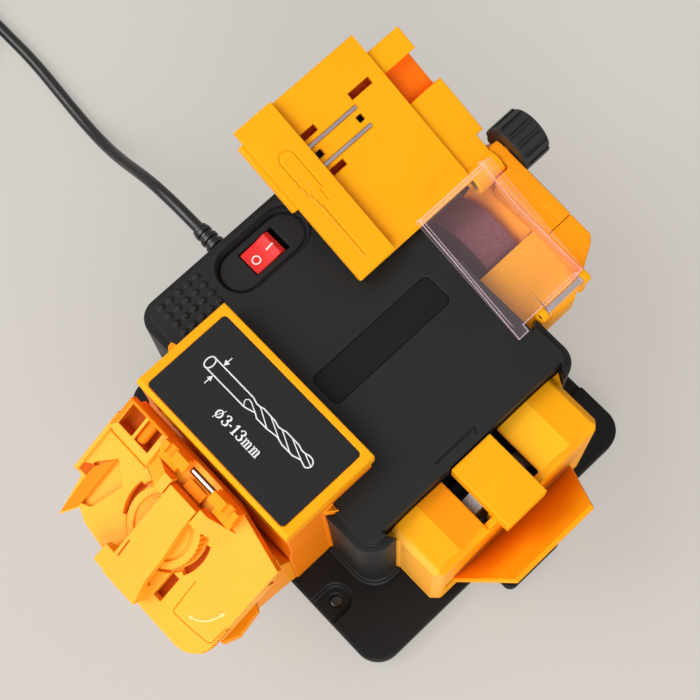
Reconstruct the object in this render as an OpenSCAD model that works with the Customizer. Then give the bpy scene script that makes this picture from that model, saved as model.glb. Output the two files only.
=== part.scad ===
// Bench sharpener with a drill station in front, a knife station at the right
// and a chisel station behind, all driven by one motor.
// X runs left to right, Y front to back, Z up from the table.

/* [Base] */
// Width of the base plate, left to right
base_x = 178; // [170:1:190]
// Depth of the base plate, front to back
base_y = 164; // [160:1:176]
// Corner radius of the base plate
base_r = 12; // [6:1:16]
// Thickness of the base plate's rim
base_h = 8; // [7:0.5:12]
// Thickness of the base plate's skin
base_skin = 4; // [3:0.5:5]
// Height of the rubber feet
foot_h = 3; // [2:0.5:6]
// Diameter of the rubber feet
foot_d = 16; // [10:1:20]
// Spacing of the bench holes, left to right
bench_x = 104; // [96:1:110]
// Spacing of the bench holes, front to back
bench_y = 146; // [144:1:150]
// Diameter of the bench holes
bench_d = 5.5; // [4:0.5:6]
// Radius of the recess round each bench hole
bench_recess_r = 7; // [5:0.5:8]
// Reach of the tongue beyond the right edge
tongue_x = 16; // [8:0.5:18]
// Width of the tongue
tongue_y = 34; // [24:1:40]

/* [Body] */
// Width of the body, left to right
body_x = 149; // [145:1:152]
// Depth of the body, front to back
body_y = 124.5; // [122:0.5:128]
// Height of the body's top face above the table
body_top = 94; // [93:0.5:96]
// Corner radius of the body
body_r = 10; // [8:0.5:11]
// Wall thickness of the body
wall = 3; // [2.5:0.1:3.5]
// Height of the lid
lid_h = 12; // [11:0.5:14]
// Inset of the lid's raised field
lid_inset = 3.5; // [2.5:0.1:4]
// Height of the lid's raised field
lid_step = 4; // [3:0.5:5]
// Reach of the flange round the foot of the body
flange_reach = 2.5; // [1:0.1:3]
// Height of that flange
flange_h = 4; // [2:0.5:6]
// Depth of the dovetail slots in the walls
slot_d = 5.7; // [5:0.1:6.5]
// Flare of the dovetail slots on each side
slot_flare = 3.6; // [2:0.1:4]
// Diameter of the four long case screws
case_screw_d = 4; // [3:0.5:5]

/* [Switch] */
// Length of the switch's hole in the lid
switch_y = 19.6; // [19:0.1:21]
// Width of the switch's hole in the lid
switch_x = 12.9; // [12:0.1:14]
// Tilt of the rocker either side of level
rocker_tilt = 10; // [6:1:12]
// Radius of the ends of the switch's recess
switch_recess_r = 12; // [10.5:0.5:13]
// Depth of the switch's recess
switch_recess_h = 3; // [2:0.5:3.5]

/* [Drive] */
// Height of all shafts above the table
shaft_z = 56; // [55:0.5:58]
// Diameter of the shafts
shaft_d = 8; // [6:0.5:9]
// Radial clearance of the shafts in their bushes
shaft_gap = 0.06; // [0.03:0.01:0.1]
// Wall of the bushes
bush_wall = 3; // [2:0.5:4]
// Pitch radius of the bevel gears at their large end
gear_r = 15; // [14:0.5:16]
// Teeth of each bevel gear
gear_teeth = 16; // [12:2:16]
// Length of the gear teeth along the axis
gear_face = 6; // [4:0.5:7]
// Diameter of the motor
motor_d = 50; // [46:1:54]
// Length of the motor
motor_l = 27; // [24:0.5:27]
// Thickness of the motor can
can_wall = 2; // [1.5:0.1:3]
// Thickness of the motor's magnets
magnet_t = 4; // [3:0.5:6]
// Air gap between magnets and rotor
air_gap = 0.8; // [0.5:0.1:1.5]
// Diameter of the drill wheel
drill_wheel_d = 78; // [72:1:79]
// Thickness of the drill wheel
drill_wheel_t = 9; // [7:0.5:10]
// Diameter of the chisel wheel
chisel_wheel_d = 50; // [44:1:50]
// Thickness of the chisel wheel
chisel_wheel_t = 18; // [12:1:20]
// Diameter of the knife wheel
knife_wheel_d = 44; // [40:1:46]
// Thickness of the knife wheel
knife_wheel_t = 8; // [7:0.5:8]

/* [Stations] */
// Clearance between a station and the machine
fit = 0.35; // [0.3:0.05:0.5]
// Wall thickness of the stations
shell = 2.5; // [2:0.1:3]

/* [Knife station] */
// Width of the knife station across both side blocks
knife_w = 97; // [95:0.5:99]
// Reach of the knife station beyond the body
knife_reach = 24; // [23:0.5:26]
// Height of the side blocks above the table
knife_top = 84; // [82:0.5:86]
// Rise of the ridge along each side block
knife_ridge = 1.6; // [0.5:0.1:2.5]
// Chamfer round the side blocks
knife_chamfer = 3; // [2:0.5:4]
// Cut across the upright outer corners of the knife housing
knife_corner = 3.5; // [2:0.5:3.5]
// Width of the two knife slits
slit_w = 5.2; // [5:0.1:6]
// Width of the guide block between the slits
guide_w = 22.6; // [20:0.2:24]
// Length of the guide block
guide_l = 34; // [32:0.5:36]
// Height of the guide block's top above the table
guide_top = 92; // [90:0.5:94]
// Depth of the guide block
guide_h = 10; // [8:0.5:11]
// Depth of the slits' inner walls
slit_depth = 9; // [7:0.5:10]
// Height at which the spark shield leaves the front wall
shield_z = 45; // [40:1:50]
// Rise of the spark shield
shield_rise = 35; // [28:1:36]
// Reach of the spark shield
shield_reach = 21; // [16:0.5:22]
// Width of the spark shield at the wall
shield_w0 = 74; // [66:1:78]
// Width of the spark shield at its free edge
shield_w1 = 46; // [38:1:52]

/* [Drill station] */
// Width of the drill tower
tower_w = 92.4; // [92:0.2:94]
// Reach of the drill tower in front of the body
tower_reach = 21.5; // [21:0.5:24]
// Rise of the tower's top above the lid
tower_rise = 14; // [13:0.5:16]
// Depth of the label plate, front to back
plate_y = 50; // [48:0.5:52]
// Thickness of the label plate
plate_h = 8; // [6:0.5:8.5]
// Reach of the label plate in front of the tower's front wall
plate_lip = 3; // [2:0.5:4]
// Width of the yellow border at the label's left and right
label_border = 4.25; // [3:0.05:6]
// Width of the yellow border behind the label
label_border_y = 3.4; // [3:0.1:5]
// Width of the yellow border in front of the label, with its edge rounding
label_front = 2.5; // [2.2:0.1:4]
// Thickness of the label
label_t = 0.6; // [0.4:0.1:1]
// Slope of the drill holder
hold_slope = 30; // [29:0.5:31]
// Width of the drill holder
hold_w = 97; // [95:0.5:99]
// Length of the drill holder down its slope
hold_l = 66; // [64:0.5:68]
// Thickness of the drill holder's plate
hold_t = 4; // [3:0.2:4.6]
// Offset of the drill holder from the tower's middle
hold_off = 3; // [2:0.5:4]
// Drop of the holder's upper edge at the right, for its swing
hold_drop = 6.8; // [6:0.1:8]
// Diameter of the swivel pin
swivel_d = 10; // [8:0.5:12]
// Radius of the clamp dial
dial_r = 18.5; // [17:0.5:19]
// Thickness of the clamp dial
dial_t = 5; // [4:0.2:5.4]
// Ribs round the clamp dial
dial_ribs = 48; // [24:4:60]
// Width of the clamp bar over the dial
bar_w = 26.5; // [24:0.5:28]
// Width of the clamp bar at the jaws
bar_neck = 16; // [14:0.5:18]
// Distance of the clamp bar's lower end from the holder's lower edge
bar_end = 3.3; // [3:0.1:5]
// Opening between the drill jaws at rest
jaw_open = 15; // [14:0.5:16]
// Width of each drill jaw
jaw_w = 15; // [12:0.5:16]

/* [Chisel station] */
// Width of the chisel housing
chisel_w = 83; // [82:0.5:86]
// Reach of the chisel housing behind the body
chisel_reach = 45; // [44:0.5:47]
// Tilt of the tool tray at rest
tray_tilt = 21.7; // [20:0.1:24]
// Length of the tool tray down its slope
tray_l = 82; // [76:1:86]
// Width of the tool tray with its fence
tray_w = 68.5; // [66:0.5:70]
// Thickness of the tool tray
tray_t = 3.2; // [2.6:0.1:3.6]
// Width of the fence
fence_w = 20.5; // [18:0.5:22]
// Height of the fence above the tray
fence_h = 5; // [4:0.2:7]
// Width of the tray's arm
arm_w = 15.5; // [14:0.5:15.5]
// Thickness of the tray's arm
arm_h = 12; // [10:0.5:13]
// Diameter of the pivot bolt
pivot_d = 8; // [6:0.5:9]
// Diameter of the tilt knob
knob_d = 25; // [22:0.5:26]
// Length of the tilt knob
knob_l = 16; // [14:0.5:20]
// Ribs round the tilt knob
knob_ribs = 14; // [10:1:18]
// Width of the clear cover
cover_w = 42; // [40:0.5:42]
// Length of the clear cover
cover_l = 66; // [64:0.5:67]
// Thickness of the clear cover
cover_t = 1.8; // [1.4:0.1:2.2]
// Depth of the clear cover's rear side at its high end
cover_side = 14; // [9:0.5:15]
// Diameter of the cover's hinge pin
hinge_d = 3; // [2:0.2:3.6]

/* [Cord] */
// Diameter of the mains cord
cord_d = 6; // [5:0.2:6.4]
// Length of the strain relief
relief_l = 30; // [24:1:36]

/* [Hidden] */
$fn = 48;
eps = 0.01;
seam = 0.2;

// Body and base, left, right, front and back
plate_top = foot_h + base_h;
body_cx = -13.6;
body_cy = 4.8;
body_lf = body_cx - body_x / 2;
body_rt = body_cx + body_x / 2;
body_ft = body_cy - body_y / 2;
body_bk = body_cy + body_y / 2;
lid_z = body_top - lid_h;
lid_skin = 4;
slot_rt = body_rt - slot_d;
slot_ft = body_ft + slot_d;
slot_bk = body_bk - slot_d;
cav_lf = body_lf + wall;
cav_rt = slot_rt - wall;
cav_ft = slot_ft + wall;
cav_bk = slot_bk - wall;
post_in = 9;
post_r = 5.5;
post_x = [body_lf + post_in, body_rt - post_in - 2];
post_y = [body_ft + post_in, body_bk - post_in];
screw_gap = 0.3;
screw_head_d = 2 * case_screw_d;
screw_head_h = 3;
screw_top = body_top - lid_skin - 1;
vent_pitch = 3.2;
tongue_r = 4;
tongue_h = 5;

// Lid details
bump_d = 3.4;
bump_pitch = 5.1;
bump_h = 1;
bump_x0 = body_lf + 6.7;
bump_y0 = body_ft + 10.8;
strip_x = 16.3;
strip_y = 68.4;
strip_r = 3;
strip_h = 1;
strip_cx = body_cx + 8.7;
strip_cy = body_cy + 7.3;
arrow_l = 24;
arrow_w = 0.9;
arrow_head = 3.5;
arrow_h = 0.6;
arrow_x = slot_rt - 5.8;
arrow_y = body_cy - 14;

// Switch
switch_cx = body_lf + 17.2;
switch_cy = body_cy - 1.2;
switch_gap = 0.3;
switch_wall = 1.6;
switch_recess_y = 25;
switch_boss_x = 2 * switch_recess_r + 2;
switch_floor = body_top - switch_recess_h;
switch_h = 16;
switch_z = switch_floor - 4;
rocker_x = switch_x - 0.7;
rocker_half = switch_y / 2 - 1.5;
rocker_h = 7;
rocker_nose = 2.2;
rocker_pin = 2.6;
rocker_z = switch_floor - 6.5;

// Shafts and gears meet at one point
gear_add = 0.9;
gear_root = 1.8;
tooth_w = 1.5;
gear_hub_d = shaft_d + 8;
gear_hub_l = 4;
shaft_r = shaft_d / 2;
bush_r = shaft_r + bush_wall;
shaft_stop = shaft_r + 1.5;
cap_t = 2;
motor_x1 = body_cx - gear_r - gear_hub_l - cap_t - 0.6;
motor_x0 = motor_x1 - motor_l;
motor_r = motor_d / 2;
rotor_r = motor_r - can_wall - magnet_t - air_gap;
rotor_in = 9;
fan_t = 5;
bracket_x = body_cx + gear_r + 14;
bracket_t = 8;
nut_t = 5;
nut_d = 14;
flange_t = 2;
flange_d = 24;
knife_nut_t = 3;
knife_flange_d = 20;
fan_r = 14;

// Knife station
knife_c = body_cy + 2.5;
knife_x0 = slot_rt + fit;
knife_x1 = body_rt + knife_reach;
knife_y0 = knife_c - knife_w / 2;
knife_y1 = knife_c + knife_w / 2;
guide_y0 = body_cy + 0.5 - guide_w / 2;
guide_y1 = body_cy + 0.5 + guide_w / 2;
slit_y0 = guide_y0 - slit_w;
slit_y1 = guide_y1 + slit_w;
knife_wheel_x = body_rt + 5.6;
knife_inner = knife_top - slit_depth;

// Drill station
tower_x0 = body_cx - tower_w / 2;
tower_x1 = body_cx + tower_w / 2;
tower_y0 = body_ft - tower_reach;
tower_wall_y = tower_y0 + 4.5;
plate_y0 = tower_wall_y - plate_lip;
tower_top = body_top + tower_rise;
plate_z = tower_top - plate_h;
label_l = plate_y - label_border_y - label_front;
label_cy = plate_y0 + label_front + label_l / 2;
drill_wheel_y = slot_ft - 4;
drill_face_y = drill_wheel_y - drill_wheel_t;
hold_cx = body_cx + hold_off;
hold_y = plate_y0 - 4.5;
hold_z = tower_top - 9.5;
tower_step_z = hold_z - 38.5;
tower_slope_h = 16;
tower_window_h = 18;
bracket_neck = 10;
bracket_foot = 5;
bar_y = -10.7;
bar_l = hold_l + bar_y - bar_end;
dial_z = -2;
bar_z = dial_z + dial_t + 0.9;
bar_t = 5;
bar_foot = 8;
bar_screw_l = 6;
jaw_guide_y0 = -17;
jaw_guide_y1 = -8.7;
jaw_guide_x = 25;
dial_y = -30;
jaw_t = 5.5;
jaw_h = 7;
jaw_y = -2.4;
jaw_travel = 6;
swivel_y = -12;
boss_h = 4;
boss_r = 9;
pocket_x = 18.5;
pocket_y = 11.5;
lip_h = 7;

// Chisel station
chisel_x0 = body_cx - chisel_w / 2 + 9;
chisel_x1 = chisel_x0 + chisel_w;
chisel_y1 = body_bk + chisel_reach;
chisel_wheel_y = body_bk + 5;
chisel_deck = shaft_z + 24;
pivot_x = body_cx - 16.4;
pivot_z = body_top - 1;
tray_y1 = chisel_y1 - 21.5;
tray_y0 = tray_y1 - tray_w;
tray_z = 5.5;
tray_x1 = -1;
tray_x0 = tray_x1 - tray_l;
rail_x = [-58.7, -48.6];
rail_w = 1.7;
rail_l = 41;
rail_h = 0.5;
arm_drop = 2.5;
arm_y0 = tray_y1;
arm_y1 = arm_y0 + arm_w;
lug_y0 = arm_y1 + fit;
lug_y1 = chisel_y1;
lug_r = 6.6;
pivot_arm = -3;
rail_in = tray_y1 + 8;
low_x1 = body_cx + 37.6;
knob_y0 = lug_y1 + fit;
bolt_end = knob_y0 + knob_l - 4;
cover_y1 = tray_y1 + 4.7;
cover_rise = 3.5;
cover_ear = 6;
cover_y0 = cover_y1 - cover_w;
hinge_x = chisel_x1 - 1.9;
hinge_z = body_top + 0.5;
hinge_r = hinge_d / 2 + 1.6;

// Cord: it leaves the left wall, drops to the table and runs to its coil
relief_z = 40;
relief_y = body_cy - 6;
cord_r = cord_d / 2;
relief_end = body_lf - relief_l;
relief_neck_r = cord_r + 1.6;
cord_path = [
    [relief_end, relief_y, relief_z],
    [-132, -1.2, 40], [-146, -1.2, 38], [-158, -1.1, 33], [-169, -1, 26],
    [-180, -0.8, 18.5], [-191, -0.4, 12], [-202, 0.2, 7.2], [-214, 1, 4.5],
    [-227, 2, 3.5], [-241, 3.2, 3.5], [-255, 4.4, 3.5], [-269, 5, 3.5],
    [-283, 5, 3.5], [-297, 5, 3.5], [-310, 5, 3.5], [-322, 5, 3.5]];
cord_sides = 10;
coil_turns = 7;
coil_steps = 24;
coil_sides = 6;
coil_pitch = cord_d + 0.9;
coil_r0 = 24;
coil_lift = cord_d + 1;
coil_x = cord_path[len(cord_path) - 1][0] - cord_d;
coil_z = 3.5;
tie_w = 7;
tie_t = 1.2;

black = [0.2, 0.2, 0.21];
orange = [1, 0.68, 0.08];
steel = [0.72, 0.72, 0.75];

// Flat rounded rectangle about its middle
module rounded(x, y, r) {
    square([x - 2 * r, y], center = true);
    square([x, y - 2 * r], center = true);
    for (sx = [-1, 1], sy = [-1, 1])
        translate([sx * (x / 2 - r), sy * (y / 2 - r)]) circle(r);
}

// Box given by its two corners
module box(a, b) {
    translate(a) cube(b - a);
}

// Prism whose outline is drawn in Y and Z, from x0 to x1
module side_prism(x0, x1, points) {
    translate([x0, 0, 0]) rotate([90, 0, 90]) linear_extrude(x1 - x0) polygon(points);
}

// Prism whose outline is drawn in X and Z, from y0 to y1
module front_prism(y0, y1, points) {
    translate([0, y1, 0]) rotate([90, 0, 0]) linear_extrude(y1 - y0) polygon(points);
}

module along_x(x) {
    translate([x, body_cy, shaft_z]) rotate([0, 90, 0]) children();
}

module along_y(y) {
    translate([body_cx, y, shaft_z]) rotate([-90, 0, 0]) children();
}

// Outline of a dovetail slot that opens towards +X at x = 0
module slot_outline(w, gap) {
    polygon([[1, -w / 2 + gap], [1, w / 2 - gap], [0, w / 2 - gap],
        [gap - slot_d, w / 2 + slot_flare - gap], [gap - slot_d, -w / 2 - slot_flare + gap],
        [0, -w / 2 + gap]]);
}

module knife_slot(gap = 0) {
    translate([body_rt, knife_c]) slot_outline(knife_w + 2, gap);
}

module drill_slot(gap = 0) {
    translate([body_cx, body_ft]) rotate(-90) slot_outline(tower_w + 2, gap);
}

module chisel_slot(gap = 0) {
    translate([(chisel_x0 + chisel_x1) / 2, body_bk]) rotate(90) slot_outline(chisel_w - 6, gap);
}

module body_outline() {
    difference() {
        translate([body_cx, body_cy]) rounded(body_x, body_y, body_r);
        knife_slot();
        drill_slot();
        chisel_slot();
    }
}

module at_posts() {
    for (x = post_x, y = post_y) translate([x, y, 0]) children();
}

module at_bench_holes() {
    for (x = [-1, 1], y = [-1, 1]) translate([x * bench_x / 2, y * bench_y / 2, 0]) children();
}

module base_plate() {
    color(black) difference() {
        union() {
            translate([0, 0, foot_h]) linear_extrude(base_h) rounded(base_x, base_y, base_r);
            translate([base_x / 2 - tongue_r, body_cy + 0.4, foot_h]) linear_extrude(tongue_h)
                translate([tongue_x / 2, 0]) rounded(tongue_x + 2 * tongue_r, tongue_y, tongue_r);
            at_bench_holes() cylinder(h = foot_h + 1, d = bench_d + 8);
        }
        difference() {
            translate([0, 0, foot_h - 1]) linear_extrude(base_h - base_skin + 1)
                rounded(base_x - 2 * wall, base_y - 2 * wall, base_r - wall);
            at_bench_holes() cylinder(h = plate_top, d = foot_d + 6);
            at_posts() cylinder(h = plate_top, d = screw_head_d + 4);
            foot_places() cylinder(h = plate_top, d = foot_d + 2);
        }
        at_bench_holes() translate([0, 0, -1]) cylinder(h = plate_top + 2, d = bench_d);
        for (x = [-1, 1], y = [-1, 1]) translate([x * bench_x / 2, y * bench_y / 2, plate_top - 3]) {
            cylinder(h = 4, r = bench_recess_r);
            translate([-bench_recess_r, y > 0 ? 0 : -base_y / 2, 0])
                cube([2 * bench_recess_r, base_y / 2, 4]);
        }
        at_posts() {
            cylinder(h = plate_top + 1, d = case_screw_d + screw_gap);
            cylinder(h = foot_h + screw_head_h + screw_gap, d = screw_head_d + screw_gap);
        }
    }
}

module foot_places() {
    for (x = [-1, 1], y = [-1, 1])
        translate([x * (base_x / 2 - foot_d / 2 - 5), y * (base_y / 2 - foot_d / 2 - 22), 0]) children();
}

module rubber_feet() {
    color([0.12, 0.12, 0.12]) foot_places() cylinder(h = foot_h, d1 = foot_d - 2, d2 = foot_d);
}

module body_housing() {
    color(black) difference() {
        union() {
            translate([0, 0, plate_top]) linear_extrude(lid_z - plate_top) body_outline();
            translate([0, 0, plate_top]) linear_extrude(flange_h) difference() {
                translate([body_cx, body_cy])
                    rounded(body_x + 2 * flange_reach, body_y + 2 * flange_reach, body_r + flange_reach);
                translate([body_lf - 2 * flange_reach, body_ft - 2 * flange_reach])
                    square([2 * flange_reach, body_y + 4 * flange_reach]);
                for (s = [0, 1, 2]) station_foot(s);
            }
        }
        difference() {
            translate([0, 0, plate_top - 1]) linear_extrude(lid_z)
                translate([(cav_lf + cav_rt) / 2, (cav_ft + cav_bk) / 2])
                    square([cav_rt - cav_lf, cav_bk - cav_ft], center = true);
            at_posts() cylinder(h = body_top, r = post_r);
        }
        at_posts() cylinder(h = body_top, d = case_screw_d + screw_gap);
        along_y(cav_ft - 2 * wall) cylinder(h = 3 * wall, r = bush_r);
        along_y(cav_bk - wall) cylinder(h = 3 * wall, r = bush_r);
        along_x(cav_rt - wall) cylinder(h = 3 * wall, r = bush_r);
        translate([body_lf - 1, relief_y, relief_z]) rotate([0, 90, 0])
            cylinder(h = wall + 2, r = relief_neck_r);
        for (i = [-4 : 4]) translate([body_lf - 1, body_cy + 33 + vent_pitch * i, shaft_z - 26])
            cube([wall + 2, vent_pitch / 2, 24]);
    }
}

// Footprints of the stations where they stand beside the body
module station_foot(s) {
    if (s == 0) {
        knife_slot();
        translate([body_rt - 1, knife_c - knife_w / 2 - 1]) square([20, knife_w + 2]);
    }
    if (s == 1) {
        drill_slot();
        translate([tower_x0 - 1, body_ft - 20]) square([tower_w + 2, 21]);
    }
    if (s == 2) {
        chisel_slot();
        translate([chisel_x0 - 1, body_bk - 1]) square([chisel_w + 2, 21]);
    }
}

module lid_field() {
    intersection() {
        body_outline();
        translate([body_cx, body_cy])
            rounded(body_x - 2 * lid_inset, body_y - 2 * lid_inset, body_r - lid_inset);
    }
}

module top_cover() {
    color(black) difference() {
        union() {
            translate([0, 0, lid_z]) linear_extrude(lid_h - lid_step) body_outline();
            translate([0, 0, body_top - lid_step - eps]) linear_extrude(lid_step + eps) lid_field();
            for (i = [0 : 3], j = [0 : 4])
                translate([bump_x0 + i * bump_pitch, bump_y0 + j * bump_pitch, body_top - eps])
                    cylinder(h = bump_h, d1 = bump_d, d2 = bump_d - 1.6);
        }
        difference() {
            translate([0, 0, lid_z - 1]) linear_extrude(lid_h - lid_skin + 1)
                translate([(cav_lf + cav_rt) / 2, (cav_ft + cav_bk) / 2])
                    square([cav_rt - cav_lf, cav_bk - cav_ft], center = true);
            at_posts() cylinder(h = body_top, r = post_r);
            translate([switch_cx, switch_cy, switch_z])
                linear_extrude(body_top - switch_z)
                    rounded(switch_boss_x, switch_boss_x + switch_recess_y, switch_recess_r);
        }
        at_posts() cylinder(h = screw_top, d = case_screw_d + screw_gap);
        translate([switch_cx, switch_cy, switch_floor]) linear_extrude(switch_recess_h + 1) {
            square([2 * switch_recess_r, switch_recess_y], center = true);
            for (s = [-1, 1]) translate([0, s * switch_recess_y / 2]) circle(switch_recess_r);
        }
        translate([switch_cx, switch_cy, switch_z]) cube([switch_x, switch_y, 4 * switch_h], center = true);
        translate([strip_cx, strip_cy, body_top - strip_h]) linear_extrude(strip_h + 1)
            rounded(strip_x, strip_y, strip_r);
        translate([arrow_x, arrow_y, body_top - arrow_h]) linear_extrude(arrow_h + 1) {
            square([arrow_w, arrow_l]);
            translate([arrow_w, arrow_l]) rotate(-135) square([arrow_w, arrow_head]);
        }
    }
}

module case_screws() {
    color(steel) at_posts() {
        translate([0, 0, foot_h + screw_gap]) cylinder(h = screw_head_h, d = screw_head_d);
        translate([0, 0, foot_h + screw_gap]) cylinder(h = screw_top - foot_h - 2, d = case_screw_d);
    }
}

module switch_body() {
    color([0.1, 0.1, 0.1]) difference() {
        translate([switch_cx, switch_cy, switch_z - switch_h / 2])
            cube([switch_x + 2 * switch_wall, switch_y + 2 * switch_wall, switch_h], center = true);
        translate([switch_cx, switch_cy, switch_z])
            cube([switch_x, switch_y, 2 * switch_h - 6], center = true);
        translate([switch_cx - switch_x, switch_cy, rocker_z]) rotate([0, 90, 0])
            cylinder(h = 2 * switch_x, d = rocker_pin + 2 * shaft_gap);
    }
}

module switch_rocker() {
    color([0.85, 0.12, 0.1]) translate([switch_cx, switch_cy, rocker_z]) rotate([rocker_tilt, 0, 0]) {
        side_prism(-rocker_x / 2, rocker_x / 2,
            [[-rocker_half, rocker_h], [0, rocker_h - 1], [rocker_half - rocker_nose, rocker_h - 0.2],
            [rocker_half, rocker_h - rocker_nose], [rocker_half - 1.2, 0], [3, -4], [-3, -4],
            [-rocker_half + 1.2, 0]]);
        rotate([0, 90, 0]) cylinder(h = switch_x + 2 * switch_wall - 0.6, d = rocker_pin, center = true);
    }
}

module motor_can() {
    color(steel) along_x(motor_x0) difference() {
        cylinder(h = motor_l, r = motor_r);
        translate([0, 0, can_wall]) cylinder(h = motor_l, r = motor_r - can_wall);
        translate([0, 0, -1]) cylinder(h = motor_l, r = shaft_r + shaft_gap);
    }
}

module motor_magnets() {
    color([0.25, 0.25, 0.27]) along_x(motor_x0 + can_wall + 3) for (a = [0, 180]) rotate(a)
        rotate_extrude(angle = 140) translate([motor_r - can_wall - magnet_t, 0])
            square([magnet_t - 0.15, motor_l - can_wall - 9]);
}

module motor_cap() {
    color([0.15, 0.15, 0.16]) along_x(motor_x1) difference() {
        union() {
            cylinder(h = cap_t, r = motor_r);
            translate([0, 0, -3]) cylinder(h = 3 + eps, r = motor_r - can_wall - 0.1);
        }
        translate([0, 0, -5]) cylinder(h = 9, r = shaft_r + shaft_gap);
        translate([0, 0, -4]) cylinder(h = 4, r = rotor_r - 6);
    }
}

module motor_cradle() {
    cradle_w = motor_d - 8;
    color(black) difference() {
        box([motor_x0 + 6, body_cy - cradle_w / 2, plate_top],
            [motor_x1 - 6, body_cy + cradle_w / 2, shaft_z - 8]);
        along_x(motor_x0 - 1) cylinder(h = motor_l + 2, r = motor_r);
    }
}

module bush(l) {
    difference() {
        cylinder(h = l, r = bush_r - 0.02);
        translate([0, 0, -1]) cylinder(h = l + 2, r = shaft_r + shaft_gap);
    }
}

module shaft_bushes() {
    color([0.75, 0.55, 0.25]) {
        along_y(slot_ft) bush(wall + 4);
        along_y(cav_bk - 4) bush(wall + 4);
        along_x(cav_rt - 4) bush(wall + 4);
        along_x(bracket_x) bush(bracket_t);
    }
}

module bearing_bracket() {
    half = bush_r + 4;
    color(black) difference() {
        union() {
            box([bracket_x, body_cy - half, plate_top], [bracket_x + bracket_t, body_cy + half, shaft_z]);
            along_x(bracket_x) cylinder(h = bracket_t, r = half);
            box([bracket_x - 6, body_cy - half - 8, plate_top],
                [bracket_x + bracket_t + 6, body_cy + half + 8, plate_top + 4]);
        }
        along_x(bracket_x - 1) cylinder(h = bracket_t + 2, r = bush_r);
    }
}

module motor_shaft() {
    tail = motor_x0 - fan_t - 2;
    color(steel) along_x(tail) cylinder(h = body_cx - shaft_stop - tail, r = shaft_r);
}

module rotor_core() {
    l = motor_l - can_wall - rotor_in - 3;
    color([0.5, 0.35, 0.2]) along_x(motor_x0 + can_wall + 4) difference() {
        cylinder(h = l, r = rotor_r);
        translate([0, 0, -1]) cylinder(h = l + 2, r = shaft_r);
        for (i = [0 : 9]) rotate(36 * i) translate([rotor_r - 4, -1.2, -1]) cube([5, 2.4, l + 2]);
    }
}

// Bevel gear whose pitch cone has its point at the origin, with its teeth below it
module bevel_gear(turn = 0) {
    z0 = -gear_r;
    z1 = -gear_r + gear_face;
    difference() {
        union() {
            translate([0, 0, z0])
                cylinder(h = gear_face, r1 = gear_r - gear_root, r2 = gear_r - gear_face - gear_root);
            translate([0, 0, z0 - gear_hub_l]) cylinder(h = gear_hub_l + eps, d = gear_hub_d);
            for (i = [0 : gear_teeth - 1]) rotate(turn + i * 360 / gear_teeth)
                translate([gear_r, 0, z0]) rotate([0, -135, 0])
                    box([-gear_add, -tooth_w / 2, -gear_add],
                        [gear_face * sqrt(2) + gear_add, tooth_w / 2, 1.6 * gear_root]);
        }
        translate([0, 0, z0 - 2 * gear_hub_l]) cylinder(h = 2 * gear_r, r = shaft_r);
        translate([0, 0, z0 - 2 * gear_hub_l]) difference() {
            cylinder(h = 2 * gear_hub_l, r = 2 * gear_r);
            cylinder(h = 2 * gear_hub_l, d = gear_hub_d);
        }
        translate([0, 0, z1]) cylinder(h = gear_r, r = 2 * gear_r);
    }
}

module at_gears() {
    translate([body_cx, body_cy, shaft_z]) children();
}

module motor_gear() {
    color([0.8, 0.8, 0.7]) at_gears() rotate([0, 90, 0]) bevel_gear();
}

module cooling_fan() {
    color([0.9, 0.9, 0.88]) along_x(motor_x0 - fan_t - 1) difference() {
        union() {
            cylinder(h = fan_t, r = shaft_r + 4);
            for (i = [0 : 7]) rotate(45 * i) translate([shaft_r + 1, -0.8, 0])
                cube([fan_r - shaft_r - 2, 1.6, fan_t]);
            cylinder(h = 1, r = fan_r);
        }
        translate([0, 0, -1]) cylinder(h = fan_t + 2, r = shaft_r);
    }
}

module cross_shaft() {
    y0 = drill_face_y - nut_t - flange_t - 1;
    y1 = chisel_wheel_y + chisel_wheel_t + flange_t + nut_t + 1;
    color(steel) along_y(y0) cylinder(h = y1 - y0, r = shaft_r);
}

module cross_gear() {
    color([0.8, 0.8, 0.7]) at_gears() rotate([-90, 0, 0]) bevel_gear(180 / gear_teeth);
}

module wheel_disc(d, t) {
    difference() {
        cylinder(h = t, d = d, $fn = 96);
        translate([0, 0, -1]) cylinder(h = t + 2, r = shaft_r);
    }
}

module drill_wheel() {
    color([0.6, 0.6, 0.62]) along_y(drill_face_y) wheel_disc(drill_wheel_d, drill_wheel_t);
}

module chisel_wheel() {
    color([0.45, 0.42, 0.42]) along_y(chisel_wheel_y) wheel_disc(chisel_wheel_d, chisel_wheel_t);
}

module flange_and_nut(d, t) {
    difference() {
        union() {
            cylinder(h = flange_t, d = d);
            cylinder(h = flange_t + t, d = nut_d, $fn = 6);
        }
        translate([0, 0, -1]) cylinder(h = flange_t + t + 2, r = shaft_r);
    }
}

module wheel_nuts() {
    color(steel) {
        along_y(drill_face_y) mirror([0, 0, 1]) flange_and_nut(flange_d, nut_t);
        along_y(chisel_wheel_y + chisel_wheel_t) flange_and_nut(flange_d, nut_t);
    }
}

module knife_shaft() {
    x0 = body_cx + shaft_stop;
    x1 = knife_wheel_x + knife_wheel_t + flange_t + knife_nut_t;
    color(steel) along_x(x0) cylinder(h = x1 - x0, r = shaft_r);
}

module knife_gear() {
    color([0.8, 0.8, 0.7]) at_gears() rotate([0, -90, 0]) bevel_gear();
}

module knife_wheel() {
    color([0.8, 0.8, 0.82]) along_x(knife_wheel_x) wheel_disc(knife_wheel_d, knife_wheel_t);
}

module knife_nut() {
    color(steel) along_x(knife_wheel_x + knife_wheel_t) flange_and_nut(knife_flange_d, knife_nut_t);
}

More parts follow.
